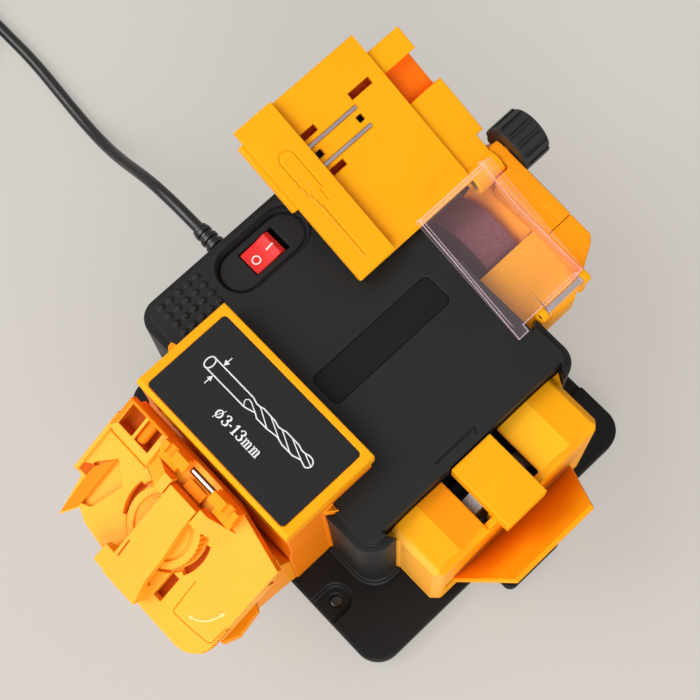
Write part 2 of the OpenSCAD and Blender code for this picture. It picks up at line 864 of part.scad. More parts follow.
// Outline of one side block, drawn in Y and Z, with its chamfers and ridge
function block_outline(ya, yb, z) = [[ya, plate_top + fit], [ya, z - knife_chamfer],
    [ya + knife_chamfer, z], [(ya + yb) / 2, z + knife_ridge], [yb, z], [yb, plate_top + fit]];

module knife_block(ya, yb, hand) {
    m = hand > 0 ? block_outline(ya, yb, knife_top)
        : [for (p = block_outline(-yb, -ya, knife_top)) [-p[0], p[1]]];
    difference() {
        side_prism(knife_x0, knife_x1, m);
        translate([knife_x1, 0, knife_top]) rotate([0, 45, 0])
            cube([knife_chamfer * sqrt(2) + 1, 4 * knife_w, knife_chamfer * sqrt(2)], center = true);
    }
}

module knife_housing() {
    color(orange) difference() {
        union() {
            knife_block(knife_y0, slit_y0, 1);
            knife_block(slit_y1, knife_y1, -1);
            box([knife_x1 - shell - 1.5, knife_y0 + 1, plate_top + fit],
                [knife_x1, knife_y1 - 1, guide_top - guide_h]);
            translate([0, 0, plate_top + fit]) linear_extrude(knife_top - knife_chamfer - plate_top - fit)
                intersection() {
                    knife_slot(fit);
                    translate([0, knife_y0 - 20]) square([body_rt + 0.5, knife_w + 40]);
                }
        }
        side_prism(knife_x0 - 1, knife_x1 - shell,
            [[knife_y0 + shell, 0], [knife_y0 + shell, knife_inner],
            [knife_y0 + knife_chamfer + shell, knife_top - shell],
            [slit_y0 - shell, knife_top - shell], [slit_y0 - shell, 0]]);
        side_prism(knife_x0 - 1, knife_x1 - shell,
            [[slit_y1 + shell, 0], [slit_y1 + shell, knife_top - shell],
            [knife_y1 - knife_chamfer - shell, knife_top - shell],
            [knife_y1 - shell, knife_inner], [knife_y1 - shell, 0]]);
        box([knife_x0 - 1, knife_y0 + shell, 0], [knife_x1 - shell - 1.5, knife_y1 - shell, knife_inner]);
        box([knife_x0 - 10, slit_y0, 0], [knife_x1 - shell - 1.5, slit_y1, body_top]);
        box([knife_x0 - 1, slit_y0 - shell - 1, 0],
            [knife_x1 - shell - 1.5, slit_y1 + shell + 1, knife_top - shell]);
        for (y = [knife_y0, knife_y1]) translate([knife_x1, y, 0]) rotate(45)
            cube([knife_corner * sqrt(2), knife_corner * sqrt(2), 3 * knife_top], center = true);
        box([knife_x1 - 2 * shell - 3, knife_c - 18, 0], [knife_x1 + 1, knife_c + 18, shield_z - 12]);
        box([knife_x1 - 2 * shell - 3, knife_y0 + 6, shield_z - 20],
            [knife_x1 + 1, knife_y0 + 17, shield_z - 3]);
    }
}

module knife_guide() {
    color(orange) {
        box([knife_x0 + 0.4, guide_y0, guide_top - guide_h], [knife_x0 + 0.4 + guide_l, guide_y1, guide_top]);
        box([knife_x1 - shell - 1.5 - shell, guide_y0, knife_inner - 8],
            [knife_x1 - shell - 1.5, guide_y1, guide_top - guide_h + eps]);
    }
}

module spark_shield() {
    slant = sqrt(shield_rise * shield_rise + shield_reach * shield_reach);
    lean = atan2(shield_reach, shield_rise);
    color(orange) translate([knife_x1, knife_c - 2, shield_z]) rotate([0, lean, 0]) rotate([90, 0, 90])
        linear_extrude(shell) polygon([[-shield_w0 / 2, 0], [shield_w0 / 2, 0],
            [shield_w1 / 2, slant], [-shield_w1 / 2, slant]]);
}

module drill_tower() {
    z0 = plate_top + fit;
    top = plate_z;
    lid_gap = body_top + fit;
    color(orange) difference() {
        union() {
            side_prism(tower_x0, tower_x1, [[tower_y0, z0], [tower_y0, tower_step_z],
                [tower_wall_y - shell, tower_step_z + tower_slope_h],
                [tower_wall_y - shell, top], [plate_y0 + plate_y - 2, top], [plate_y0 + plate_y - 2, lid_gap],
                [body_ft - 0.2, lid_gap], [body_ft - 0.2, z0]]);
            translate([0, 0, z0]) linear_extrude(lid_gap - z0 + eps) intersection() {
                drill_slot(fit);
                translate([tower_x0 - 20, body_ft - 0.5]) square([tower_w + 40, slot_d + 2]);
            }
        }
        box([tower_x0 + shell, tower_wall_y, z0 - 1], [tower_x1 - shell, slot_ft + 1, top - shell]);
        box([tower_x0 + shell, slot_ft - 5, lid_gap - 1],
            [tower_x1 - shell, plate_y0 + plate_y - 2 - shell, top - shell]);
        box([tower_x0 + 8, tower_y0 - 8, tower_step_z + tower_window_h],
            [tower_x1 - 10, tower_wall_y + 1, top - 1]);
        box([tower_x0 + shell, tower_y0 + shell, z0 - 1], [tower_x1 - shell, slot_ft, tower_step_z - 2]);
    }
}

module label_plate() {
    color(orange) difference() {
        front_bevel();
        translate([body_cx, label_cy, tower_top - label_t]) linear_extrude(1)
            rounded(tower_w - 2 * label_border, label_l, 2);
    }
}

module front_bevel() {
    side_prism(tower_x0, tower_x1, [[plate_y0 + 2, plate_z], [plate_y0, plate_z + 2],
        [plate_y0, tower_top - 1.5], [plate_y0 + 1.5, tower_top],
        [plate_y0 + plate_y, tower_top], [plate_y0 + plate_y, plate_z]]);
}

module label_face() {
    color([0.15, 0.15, 0.15]) translate([body_cx, label_cy, tower_top - label_t]) linear_extrude(label_t)
        rounded(tower_w - 2 * label_border - 0.1, label_l - 0.1, 2);
}

// Frame of the drill holder: down its slope is -Y, away from it is +Z
module at_holder() {
    translate([hold_cx, hold_y, hold_z]) rotate([hold_slope, 0, 0]) children();
}

function slope_z(y) = hold_z + (y - hold_y) * tan(hold_slope);

module swivel_bracket() {
    gap = (hold_t + boss_h + fit) / cos(hold_slope);
    y0 = hold_y - hold_l / 2 + 2;
    x0 = hold_cx - hold_w / 2 + 18.5;
    foot_z = plate_top + bracket_foot;
    neck_z = tower_step_z + bracket_neck;
    color(orange) difference() {
        union() {
            side_prism(x0, tower_x1, [[tower_y0 - eps, foot_z], [hold_y - 20, foot_z + 8], [y0, foot_z + 22],
                [y0, slope_z(y0) - gap], [tower_y0 - 5, slope_z(tower_y0 - 5) - gap],
                [tower_y0 - 5, neck_z], [tower_y0 - eps, tower_step_z]]);
            at_holder() translate([0, swivel_y, -hold_t - boss_h - 4])
                cylinder(h = boss_h + hold_t + 1.6, d = swivel_d);
        }
        side_prism(x0 + shell, tower_x1 - shell,
            [[tower_y0 - shell, foot_z - 6], [hold_y - 20, foot_z + 4], [y0 + shell, foot_z + 14],
            [y0 + shell, slope_z(y0 + shell) - gap - 5],
            [tower_y0 - 8, slope_z(tower_y0 - 8) - gap - 5], [tower_y0 - 8, neck_z - 4],
            [tower_y0 - shell, tower_step_z - 6]]);
    }
}

// Outline of the holder's plate: dropped right edge, round lower corner, spike at the left
module holder_outline() {
    h = hold_w / 2;
    r = 13;
    polygon([[-h + 5, 1], [18, 1], [h, -hold_drop], [h, -hold_l + r], [h - r, -hold_l],
        [14, -hold_l], [-14, -hold_l + 5], [-h + 19, -hold_l + 7.4], [-h + 13, -hold_l + 10.6],
        [-h + 7.7, -hold_l + 0.5], [-h + 4.4, -hold_l + 22], [-h + 1, -hold_l + 23], [-h, -9]]);
    translate([h - r, -hold_l + r]) circle(r);
}

// Guide beside the clamp bar that a jaw runs along, with a gusset down to the plate
module jaw_guide() {
    top = bar_z + bar_t;
    side = bar_neck / 2 + 0.6;
    translate([0, jaw_guide_y1, 0]) rotate([90, 0, 0]) linear_extrude(jaw_guide_y1 - jaw_guide_y0)
        polygon([[side, top], [side + 4.4, top], [jaw_guide_x, -eps], [jaw_guide_x - 7.5, -eps],
            [side + 4.4, bar_z - 0.2], [side, bar_z - 0.2]]);
}

module drill_holder() {
    h = hold_w / 2;
    color(orange) at_holder() difference() {
        union() {
            translate([0, 0, -hold_t]) linear_extrude(hold_t) holder_outline();
            translate([-h + 1.5, -pocket_y - 4, -eps]) cube([pocket_x + 5.5, pocket_y + 5, 4]);
            translate([0, swivel_y, -hold_t - boss_h]) cylinder(h = boss_h + eps, r = boss_r);
            translate([h - shell, -hold_l + 13, -hold_t - lip_h]) cube([shell, hold_l - 30, lip_h + eps]);
            translate([-h, -hold_l + 23, -eps]) cube([2, hold_l - 32, 2]);
            for (y = [-16.9, -19.2]) translate([-h + 2.5, y, -eps]) cube([pocket_x + 4, 0.9, 0.8]);
            for (x = [0, 1]) mirror([x, 0, 0]) jaw_guide();
        }
        for (a = [[-28, 50], [165, 47]]) translate([0, dial_y, -hold_t - 1]) rotate(a[0])
            rotate_extrude(angle = a[1]) translate([dial_r + 0.4, 0]) square([3, hold_t + 2]);
        at_bar_screws() translate([0, 0, -hold_t - 1]) cylinder(h = hold_t + 2, d = 3 + screw_gap);
        translate([0, swivel_y, -hold_t - boss_h - 1])
            cylinder(h = boss_h + hold_t + 2, d = swivel_d + 2 * shaft_gap);
        translate([0, dial_y, dial_z]) cylinder(h = hold_t, r = dial_r + 1.5);
        translate([0, dial_y, -hold_t - 1]) cylinder(h = hold_t + 2, d = swivel_d / 2 + 2 * shaft_gap);
        for (x = [0, pocket_x / 2 + 0.8]) translate([-h + 4 + x, -pocket_y, -hold_t + 1])
            cube([pocket_x / 2 - 0.8, pocket_y - 0.5, 10]);
        translate([-8, jaw_y - 2.6, -hold_t - 1]) cube([16, 3.2, hold_t + 2]);
        translate([14.5, -57, -hold_t - 1]) cube([4.5, 14, hold_t + 2]);
        translate([0, 0, -2.4]) linear_extrude(hold_t) polygon([[-h + 5.4, -35], [-h + 13, -25.3],
            [-h + 22, -33], [-h + 17, -51], [-h + 9.4, -55]]);
    }
}

// Plan of the clamp bar: straight neck, flared right edge and a wing at its lower left
module bar_outline() {
    n = bar_neck / 2;
    w = bar_w / 2;
    end = bar_y - bar_l;
    polygon([[-n, bar_y], [n, bar_y], [n, bar_y - 10], [n + 2, bar_y - 27], [n + 2.4, end + 12],
        [w, end], [-n + 2, end], [-n + 1, end + 0.8], [-w, end + 0.8], [-w, end + 10.5], [-n, end + 10.5]]);
}

module at_bar_screws() {
    for (x = [-1, 1]) translate([x * 8.5, bar_y - bar_l + bar_foot / 2, 0]) children();
}

module clamp_bar() {
    color(orange) at_holder() difference() {
        union() {
            translate([0, 0, bar_z]) linear_extrude(bar_t) bar_outline();
            linear_extrude(bar_z + eps) intersection() {
                bar_outline();
                translate([-bar_w, bar_y - bar_l]) square([2 * bar_w, bar_foot]);
            }
            translate([0, dial_y, dial_z]) cylinder(h = bar_z - dial_z + eps, d = swivel_d / 2);
        }
        at_bar_screws() translate([0, 0, -1]) cylinder(h = bar_screw_l + 1.5, d = 3 + screw_gap);
    }
}

// The screws come up from under the plate, so no head shows on top
module bar_screws() {
    color(steel) at_holder() at_bar_screws() {
        translate([0, 0, -hold_t - eps]) cylinder(h = hold_t + bar_screw_l + eps, d = 3);
        translate([0, 0, -hold_t - 1.6]) cylinder(h = 1.6, d = 5.6);
    }
}

module drill_stop() {
    color(steel) at_holder() translate([-7.2, jaw_y - 1.8, -hold_t]) cube([14.4, 1.4, hold_t]);
}

module clamp_dial() {
    color(orange) at_holder() translate([0, dial_y, dial_z + 0.3]) difference() {
        union() {
            cylinder(h = dial_t, r = dial_r - 0.6);
            for (i = [0 : dial_ribs - 1]) rotate(i * 360 / dial_ribs)
                translate([dial_r - 1.4, -0.6, 0]) cube([1.4, 1.2, dial_t]);
        }
        translate([0, 0, -1]) cylinder(h = dial_t + 2, d = swivel_d / 2 + 2 * shaft_gap);
        translate([0, 0, dial_t - 1.2]) difference() {
            cylinder(h = 2, r = dial_r - 4);
            cylinder(h = 2, r = dial_r - 5.5);
        }
    }
}

// Jaw with notched teeth; its inner face looks towards +X
module jaw() {
    difference() {
        union() {
            translate([-jaw_w, -jaw_t, 0]) cube([jaw_w, jaw_t, jaw_h]);
            translate([-jaw_w, -jaw_t - 4, 0]) cube([jaw_w - 4, jaw_t + 4, jaw_h - 3]);
        }
        for (i = [0, 1]) translate([eps, -jaw_t / 2, 1.6 + 3 * i]) rotate([90, 0, 0]) rotate(45)
            cube([2.4, 2.4, 2 * jaw_t], center = true);
        translate([-jaw_w + 3, -jaw_t - 1, jaw_h - 2]) cube([4, jaw_t + 2, 3]);
    }
}

module jaw_left() {
    color(orange) at_holder() translate([-jaw_open / 2, jaw_y + jaw_t / 2 + 1, fit]) jaw();
}

module jaw_right() {
    color(orange) at_holder() translate([jaw_open / 2, jaw_y + jaw_t / 2 + 1, fit]) mirror([1, 0, 0]) jaw();
}

// Plan of the chisel station's upper part, with its outer right corner cut away
module chisel_plan(gap) {
    polygon([[chisel_x0 + gap, body_bk - gap + 0.2], [chisel_x1 - gap, body_bk - gap + 0.2],
        [chisel_x1 - gap, body_bk + 0.5 * chisel_reach], [chisel_x1 - 11 - gap, chisel_y1 - 3 - gap],
        [chisel_x1 - 14 - gap, chisel_y1 - gap], [chisel_x0 + gap, chisel_y1 - gap]]);
}

module chisel_housing() {
    z0 = plate_top + fit;
    low = chisel_deck - 14;
    rail_x0 = pivot_x + lug_r + 0.6;
    rail_x1 = chisel_x1 - 26.5;
    rail_z = pivot_z + 5;
    color(orange) difference() {
        union() {
            box([chisel_x0, body_bk + 0.2, z0], [low_x1, chisel_y1, low + 1]);
            translate([0, 0, low]) linear_extrude(chisel_deck - low) chisel_plan(0);
            front_prism(lug_y0, lug_y1, [[pivot_x - lug_r - 7, chisel_deck - 1], [pivot_x - lug_r, pivot_z],
                [pivot_x - lug_r + 1, pivot_z + 4], [pivot_x - 3, rail_z], [rail_x1, rail_z - 5],
                [rail_x1, chisel_deck - 1]]);
            front_prism(rail_in, lug_y1, [[rail_x0, chisel_deck - 1], [rail_x0, rail_z - 1.4],
                [rail_x1, rail_z - 5], [rail_x1, chisel_deck - 1]]);
            intersection() {
                translate([0, 0, chisel_deck - 1]) linear_extrude(rail_z) chisel_plan(0);
                front_prism(rail_in, chisel_y1,
                    [[rail_x1 + 0.3, chisel_deck - 1], [rail_x1 + 0.3, rail_z - 5.4],
                    [chisel_x1 - 4, rail_z - 8], [chisel_x1 - 4, chisel_deck - 1]]);
            }
            box([rail_x1 - 1, rail_in, chisel_deck - 1], [rail_x1 + 2, chisel_y1 - 1, rail_z - 8]);
            translate([0, 0, z0]) linear_extrude(chisel_deck - z0) intersection() {
                chisel_slot(fit);
                translate([chisel_x0 - 20, slot_bk]) square([chisel_w + 40, slot_d + 0.5]);
            }
            for (y = [body_bk + 0.4, rail_in - 6]) hinge_lug(y);
        }
        translate([hinge_x, 0, hinge_z]) rotate([-90, 0, 0])
            cylinder(h = chisel_y1, d = hinge_d);
        translate([pivot_x, lug_y0 - 1, pivot_z]) rotate([-90, 0, 0])
            cylinder(h = lug_y1 - lug_y0 + 2, d = pivot_d + 2 * shaft_gap);
        box([chisel_x0 + shell, slot_bk - 1, z0 - 1],
            [low_x1 - shell, chisel_y1 - shell, chisel_deck - shell]);
        translate([0, 0, low + shell]) linear_extrude(chisel_deck - low - 2 * shell) chisel_plan(shell);
        box([pivot_x - 12, slot_bk - 1, chisel_deck - 10], [pivot_x + 32, rail_in, chisel_deck + 1]);
        box([chisel_x0 - 20, slot_bk - 1, z0 - 1], [chisel_x1 + 20, slot_bk + fit, chisel_deck + 1]);
    }
}

module hinge_lug(y) {
    box([hinge_x - 3, y, chisel_deck - 1], [hinge_x + 1.9, y + 3.5, hinge_z]);
    translate([hinge_x, y, hinge_z]) rotate([-90, 0, 0]) cylinder(h = 3.5, r = hinge_r);
}

module hinge_pin() {
    color(steel) translate([hinge_x, body_bk + 0.6, hinge_z]) rotate([-90, 0, 0])
        cylinder(h = rail_in - body_bk - 3.3, d = hinge_d);
}

// Frame of the tilted parts: up the slope is -X
module at_tray() {
    translate([pivot_x, 0, pivot_z]) rotate([0, tray_tilt, 0]) children();
}

module at_cover() {
    translate([hinge_x, 0, hinge_z]) rotate([0, tray_tilt, 0]) children();
}

module clear_cover() {
    barrel0 = body_bk + 4.4;
    barrel1 = rail_in - 6.5;
    top = cover_rise;
    color([0.95, 0.8, 0.85, 0.5]) difference() {
        union() {
            at_cover() {
                box([-cover_l, cover_y0, top - cover_t], [-3, cover_y1, top]);
                box([-4, cover_y0, top - cover_t], [0.6, cover_y0 + cover_ear, top]);
                box([-cover_l, cover_y0, top - cover_t - 2], [-cover_l + cover_t, cover_y1, top]);
                front_prism(cover_y0, cover_y0 + cover_t, [[-cover_l, top - 6], [-cover_l, top - eps],
                    [-4, top - eps], [-4, top - cover_t]]);
                front_prism(cover_y1 - cover_t, cover_y1,
                    [[-cover_l, top - cover_side], [-cover_l, top - eps],
                    [-3, top - eps], [-3, top - cover_t - 1], [-40, top - cover_side]]);
                box([-4, barrel0, top - cover_t - 1.4], [0, barrel1, top - 0.6]);
            }
            translate([hinge_x, barrel0, hinge_z]) rotate([-90, 0, 0])
                cylinder(h = barrel1 - barrel0, r = hinge_r);
        }
        translate([hinge_x, 0, hinge_z]) rotate([-90, 0, 0])
            cylinder(h = chisel_y1, d = hinge_d + 2 * shaft_gap);
    }
}

module tool_tray() {
    z1 = tray_z;
    z0 = tray_z - tray_t;
    slot_z = z0 - 1;
    color(orange) at_tray() difference() {
        union() {
            box([tray_x0, tray_y0 + 1, z0], [tray_x1, tray_y1 + eps, z1]);
            box([tray_x0, tray_y1 - 3, z0 - 6], [tray_x1 - 22, tray_y1 + eps, z0 + 1]);
            box([tray_x0 + 10, arm_y0, z1 - arm_h], [tray_x0 + 22, arm_y1 + 4, z1 - arm_drop]);
            box([tray_x0 + 10, arm_y0, z1 - arm_h], [tray_x0 + 40, arm_y1 + 1.5, z1 - 7]);
            box([tray_x0 + 39, arm_y0, z1 - arm_h], [pivot_arm, arm_y1, z1 - arm_drop]);
            box([tray_x0 + 39, arm_y1 - 2, z1 - arm_h], [-lug_r - 8, arm_y1 + 4, z1 - arm_drop]);
            box([tray_x0 + 5, tray_y0 - 1.6, z0 - 3], [tray_x0 + 41, tray_y0 + 1 + eps, z1]);
            translate([0, arm_y0, 0]) rotate([-90, 0, 0]) cylinder(h = arm_w, r = lug_r);
        }
        box([rail_x[0] - 6.4, tray_y1 - 18.4, slot_z], [rail_x[0] - 3, tray_y1 - 6, z1 + 1]);
        for (x = [rail_x[0] - 6.4, rail_x[1] + 2.8])
            box([x, tray_y0 + 22, slot_z], [x + 3.2, tray_y0 + 30.2, z1 + 1]);
        for (y = [tray_y0 + 22, tray_y0 + 46]) translate([(rail_x[0] + rail_x[1]) / 2 - 1.6, y, slot_z])
            cube([3.2, 3.4, tray_t + 3]);
        for (x = rail_x) translate([x - rail_w / 2, tray_y0 + 8.4, z1 - 1]) cube([rail_w, rail_l, 3]);
        translate([0, arm_y0 - 30, 0]) rotate([-90, 0, 0]) cylinder(h = arm_w + 40, d = pivot_d);
    }
}

module guide_rails() {
    color([0.7, 0.66, 0.7]) at_tray() for (x = rail_x)
        translate([x - rail_w / 2 + 0.05, tray_y0 + 8.4, tray_z - 1])
            cube([rail_w - 0.1, rail_l, 1 + rail_h]);
}

module pivot_bolt() {
    color(steel) at_tray() translate([0, arm_y0 + 1, 0]) rotate([-90, 0, 0])
        cylinder(h = bolt_end - arm_y0 - 1, d = pivot_d);
}

module tool_fence() {
    z0 = tray_z + rail_h + fit;
    z1 = tray_z + fence_h;
    color(orange) at_tray() difference() {
        box([tray_x0 - 1, tray_y0, z0], [tray_x1 - 1, tray_y0 + fence_w, z1]);
        translate([0, 0, z1 - 0.5]) linear_extrude(1) chisel_line();
    }
}

// Fine outline of a chisel sunk into the fence
module chisel_line() {
    y = tray_y0 + fence_w / 2;
    difference() {
        chisel_shape(y, 4.2);
        chisel_shape(y, 3.4);
    }
    translate([tray_x0 + 46, y - 1.6]) square([28, 0.8]);
}

module chisel_shape(y, r) {
    translate([tray_x0 + 22, y - r]) square([18, 2 * r]);
    translate([tray_x0 + 22, y]) circle(r);
    translate([tray_x0 + 40, y - 0.6 * r]) square([6, 1.2 * r]);
}

module tilt_knob() {
    color(black) translate([pivot_x, knob_y0, pivot_z]) rotate([-90, 0, 0]) difference() {
        union() {
            cylinder(h = knob_l, d = knob_d - 2.4);
            for (i = [0 : knob_ribs - 1]) rotate(i * 360 / knob_ribs)
                translate([knob_d / 2 - 2, -1.6, 0]) cube([2, 3.2, knob_l - 1]);
            cylinder(h = 2.5, d = knob_d - 1);
        }
        translate([0, 0, -1]) cylinder(h = bolt_end - knob_y0 + 2, d = pivot_d + 2 * shaft_gap);
    }
}

module strain_relief() {
    r0 = relief_neck_r;
    n = 6;
    step = (relief_l - 4) / n;
    color(black) translate([body_lf, relief_y, relief_z]) rotate([0, -90, 0]) difference() {
        union() {
            translate([0, 0, -wall - 2]) cylinder(h = 2, r = r0 + 2);
            translate([0, 0, -wall - 1]) cylinder(h = relief_l + wall + 1, r1 = r0 - 0.05, r2 = cord_r + 0.9);
            cylinder(h = 3, r = r0 + 1.6);
            for (i = [0 : n - 1]) translate([0, 0, 4 + i * step])
                cylinder(h = step * 0.55, r = r0 + 1.2 - 0.28 * i);
        }
        translate([0, 0, relief_l - cord_d]) cylinder(h = 2 * cord_d, r = cord_r + 0.02);
    }
}

function unit(v) = v / norm(v);

// Closed tube swept along points; each ring is square to the path
module tube(path, r, sides) {
    n = len(path);
    dirs = [for (i = [0 : n - 1]) unit(path[min(i + 1, n - 1)] - path[max(i - 1, 0)])];
    rings = [for (i = [0 : n - 1]) let (a = unit(cross(dirs[i], [0, 0, 1])), b = cross(a, dirs[i]))
        for (k = [0 : sides - 1]) path[i] + r * (cos(360 * k / sides) * a + sin(360 * k / sides) * b)];
    ends = [path[0], path[n - 1]];
    sides_faces = [for (i = [0 : n - 2], k = [0 : sides - 1])
        let (j = (k + 1) % sides, p = i * sides, q = p + sides)
        each [[p + k, q + k, p + j], [p + j, q + k, q + j]]];
    cap0 = [for (k = [0 : sides - 1]) [n * sides, k, (k + 1) % sides]];
    cap1 = [for (k = [0 : sides - 1]) let (q = (n - 1) * sides) [n * sides + 1, q + (k + 1) % sides, q + k]];
    polyhedron(points = concat(rings, ends), faces = concat(sides_faces, cap0, cap1));
}

module cord_free() {
    inset = [[relief_end + cord_d - 0.5, relief_y, relief_z]];
    color(black) tube(concat(inset, cord_path), cord_r, cord_sides);
}

// Height and radius of the coil at turn t: in on the table, up one layer, and out again
coil_half = coil_turns / 2;
coil_y0 = cord_path[len(cord_path) - 1][1];
coil_cy = coil_y0 - coil_radius(0);
function coil_radius(t) = coil_r0 + coil_pitch * abs(t - coil_half);
function coil_height(t) = coil_z + coil_lift * min(1, max(0, (t - coil_half + 0.25) / 0.5));
function coil_point(t) = [coil_x - coil_radius(t) * sin(360 * t), coil_cy + coil_radius(t) * cos(360 * t),
    coil_height(t)];
coil_turn_points = [for (i = [0 : coil_turns * coil_steps]) coil_point(i / coil_steps)];
coil_last = coil_turn_points[len(coil_turn_points) - 1];
coil_tail = [for (i = [1 : 4]) coil_last + [-8 * i, 0, -0.5 * i]];
coil_points = concat([[coil_x + cord_d, coil_y0, coil_z]], coil_turn_points, coil_tail);

// Least gap between two stretches of the coil that lie half a turn or more apart
coil_gap = min([for (i = [0 : coil_turns * coil_steps], j = [i + 12 : 1 : coil_turns * coil_steps])
    norm(coil_turn_points[i] - coil_turn_points[j])]) - cord_d;
echo(coil_gap = coil_gap);

module cord_coil() {
    color(black) tube(coil_points, cord_r, coil_sides);
}

module cord_tie() {
    r_in = coil_r0 - cord_r - 0.5;
    r_out = coil_radius(0) + cord_r + 0.5;
    z1 = coil_z + coil_lift + cord_r + 0.4;
    color([0.1, 0.1, 0.1]) translate([coil_x, coil_cy, 0]) difference() {
        box([-r_out - tie_t, -tie_w / 2, 0], [-r_in + tie_t, tie_w / 2, z1 + tie_t]);
        box([-r_out, -tie_w, tie_t * 0.3], [-r_in, tie_w, z1]);
    }
}

plug_l = 36;
plug_w = 26;
plug_t = 16.4;
plug_at = coil_tail[len(coil_tail) - 1];

module plug_body() {
    color(black) translate(plug_at) difference() {
        union() {
            rotate([0, -90, 0]) cylinder(h = 14, r1 = cord_r + 1, r2 = cord_r + 3);
            translate([-plug_l, -plug_w / 2, -plug_t / 2]) cube([plug_l - 12, plug_w, plug_t]);
        }
        rotate([0, -90, 0]) translate([0, 0, -1]) cylinder(h = cord_d + 1, r = cord_r + 0.02);
    }
}

module plug_pins() {
    color(steel) translate(plug_at + [-plug_l, 0, 0]) for (s = [-1, 1])
        translate([0, s * 9.5, 0]) rotate([0, -90, 0]) cylinder(h = 19, d = 4);
}

base_plate();
rubber_feet();
body_housing();
top_cover();
case_screws();
switch_body();
switch_rocker();
motor_can();
motor_magnets();
motor_cap();
motor_cradle();
shaft_bushes();
bearing_bracket();
motor_shaft();
rotor_core();
motor_gear();
cooling_fan();
cross_shaft();
cross_gear();
drill_wheel();
chisel_wheel();
wheel_nuts();
knife_shaft();
knife_gear();
knife_wheel();
knife_nut();
knife_housing();
knife_guide();
spark_shield();
drill_tower();
label_plate();
label_face();
swivel_bracket();
drill_holder();
clamp_bar();
drill_stop();
bar_screws();
clamp_dial();
jaw_left();
jaw_right();
chisel_housing();
hinge_pin();
clear_cover();
tool_tray();
guide_rails();
pivot_bolt();
tool_fence();
tilt_knob();
strain_relief();
cord_free();
cord_coil();
cord_tie();
plug_body();
plug_pins();
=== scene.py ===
"""Looks of a bench drill bit sharpener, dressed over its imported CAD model.

Everything stands in the CAD model's own frame: +X is the knife side, -Y the drill side, +Y the chisel side, -X the
side of the switch and the cord, and the table is at Z = 0. Sizes in the classes are in millimetres, and they become
metres where a mesh is made.
"""

import logging
import math
from collections.abc import Callable, Sequence
from dataclasses import dataclass
from enum import Enum

import bpy
from bpy.types import Material, MeshPolygon, Node, NodeSocket, NodeTree, Object
from mathutils import Matrix, Vector
from mathutils.geometry import interpolate_bezier


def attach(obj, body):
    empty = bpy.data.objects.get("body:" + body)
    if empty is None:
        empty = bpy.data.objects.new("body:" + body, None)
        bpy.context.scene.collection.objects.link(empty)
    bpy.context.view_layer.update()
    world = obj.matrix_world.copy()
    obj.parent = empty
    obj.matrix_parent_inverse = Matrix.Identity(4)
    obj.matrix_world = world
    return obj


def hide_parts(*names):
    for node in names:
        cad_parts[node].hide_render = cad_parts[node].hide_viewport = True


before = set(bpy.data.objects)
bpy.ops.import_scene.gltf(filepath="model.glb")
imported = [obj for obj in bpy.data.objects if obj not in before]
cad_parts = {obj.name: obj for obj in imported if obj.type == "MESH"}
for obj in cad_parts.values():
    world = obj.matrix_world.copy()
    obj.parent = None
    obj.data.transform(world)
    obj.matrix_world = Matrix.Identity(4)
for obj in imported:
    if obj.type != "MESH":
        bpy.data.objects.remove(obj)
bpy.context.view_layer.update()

LOG = logging.getLogger("sharpener")
MM = 0.001

# Edges sharper than FOLD degrees are rounded, and they stay sharp in the shading. A rounding's corner may stand off the
# surface that it was cast from by TUCK_SHARE of the rounding's width and TUCK_SLACK millimetres.
FOLD = 32.0
TUCK_SHARE = 0.6
TUCK_SLACK = 0.05

# Corners nearer than this many millimetres are merged, in a made mesh and in a copy of a CAD skin.
MERGE_MADE = 0.002
MERGE_CAST = 0.01

# The share of its normal from which a face looks up or sideways, and below which it stands upright.
LOOKS_UP = 0.9
SIDEWAYS = 0.6
UPRIGHT = 0.5

# The usual span of a noise's values.
NOISE_LOW, NOISE_MIDDLE, NOISE_HIGH = 0.3, 0.5, 0.7

# Steps round a ring and round a quarter of one.
RING_STEPS = 24
CORNER_STEPS = 5

# The frames that the drill holder and the tool tray are drawn in: their origins in metres and their tilts in degrees.
HOLDER_ORIGIN, HOLDER_TILT = (-0.0106, -0.08195, 0.0985), 30.0
TRAY_ORIGIN, TRAY_TILT = (-0.03, 0.0, 0.093), 21.7
HOLDER_FRAME = Matrix.Translation(HOLDER_ORIGIN) @ Matrix.Rotation(math.radians(HOLDER_TILT), 4, "X")
TRAY_FRAME = Matrix.Translation(TRAY_ORIGIN) @ Matrix.Rotation(math.radians(TRAY_TILT), 4, "Y")
HOLDER_UP = HOLDER_FRAME.col[2].to_3d()

Pair = tuple[float, float]
Triple = tuple[float, float, float]
Outline = tuple[Pair, ...]
Glyph = tuple[Triple, ...]
Colour = Triple
Point = Sequence[float]
FaceTest = Callable[[MeshPolygon], bool]


class Body(Enum):
    """The CAD bodies that pieces ride on."""

    MACHINE = "machine"
    ROCKER = "rocker"
    KNIFE_STATION = "knife_station"
    DRILL_STATION = "drill_station"
    HOLDER = "holder"
    DIAL = "dial"
    LEFT_JAW = "left_jaw"
    RIGHT_JAW = "right_jaw"
    CHISEL_STATION = "chisel_station"
    COVER = "cover"
    TRAY = "tray"
    FENCE = "fence"
    KNOB = "knob"


class Press(Enum):
    """The modifiers that finish a mesh."""

    BEVEL = "BEVEL"
    WEIGHTED_NORMAL = "WEIGHTED_NORMAL"


# ---------------------------------------------------------------------------------------------------------------------
# Bench work: the few moves that every piece is made with
# ---------------------------------------------------------------------------------------------------------------------


def put_down() -> None:
    """Leaves edit mode and deselects everything."""
    if bpy.context.object is not None and bpy.context.object.mode != "OBJECT":
        bpy.ops.object.mode_set(mode="OBJECT")
    bpy.ops.object.select_all(action="DESELECT")


def pick_up(obj: Object) -> None:
    """Makes one object the only selected and active one.

    Args:
        obj: The object.
    """
    put_down()
    obj.select_set(True)
    bpy.context.view_layer.objects.active = obj


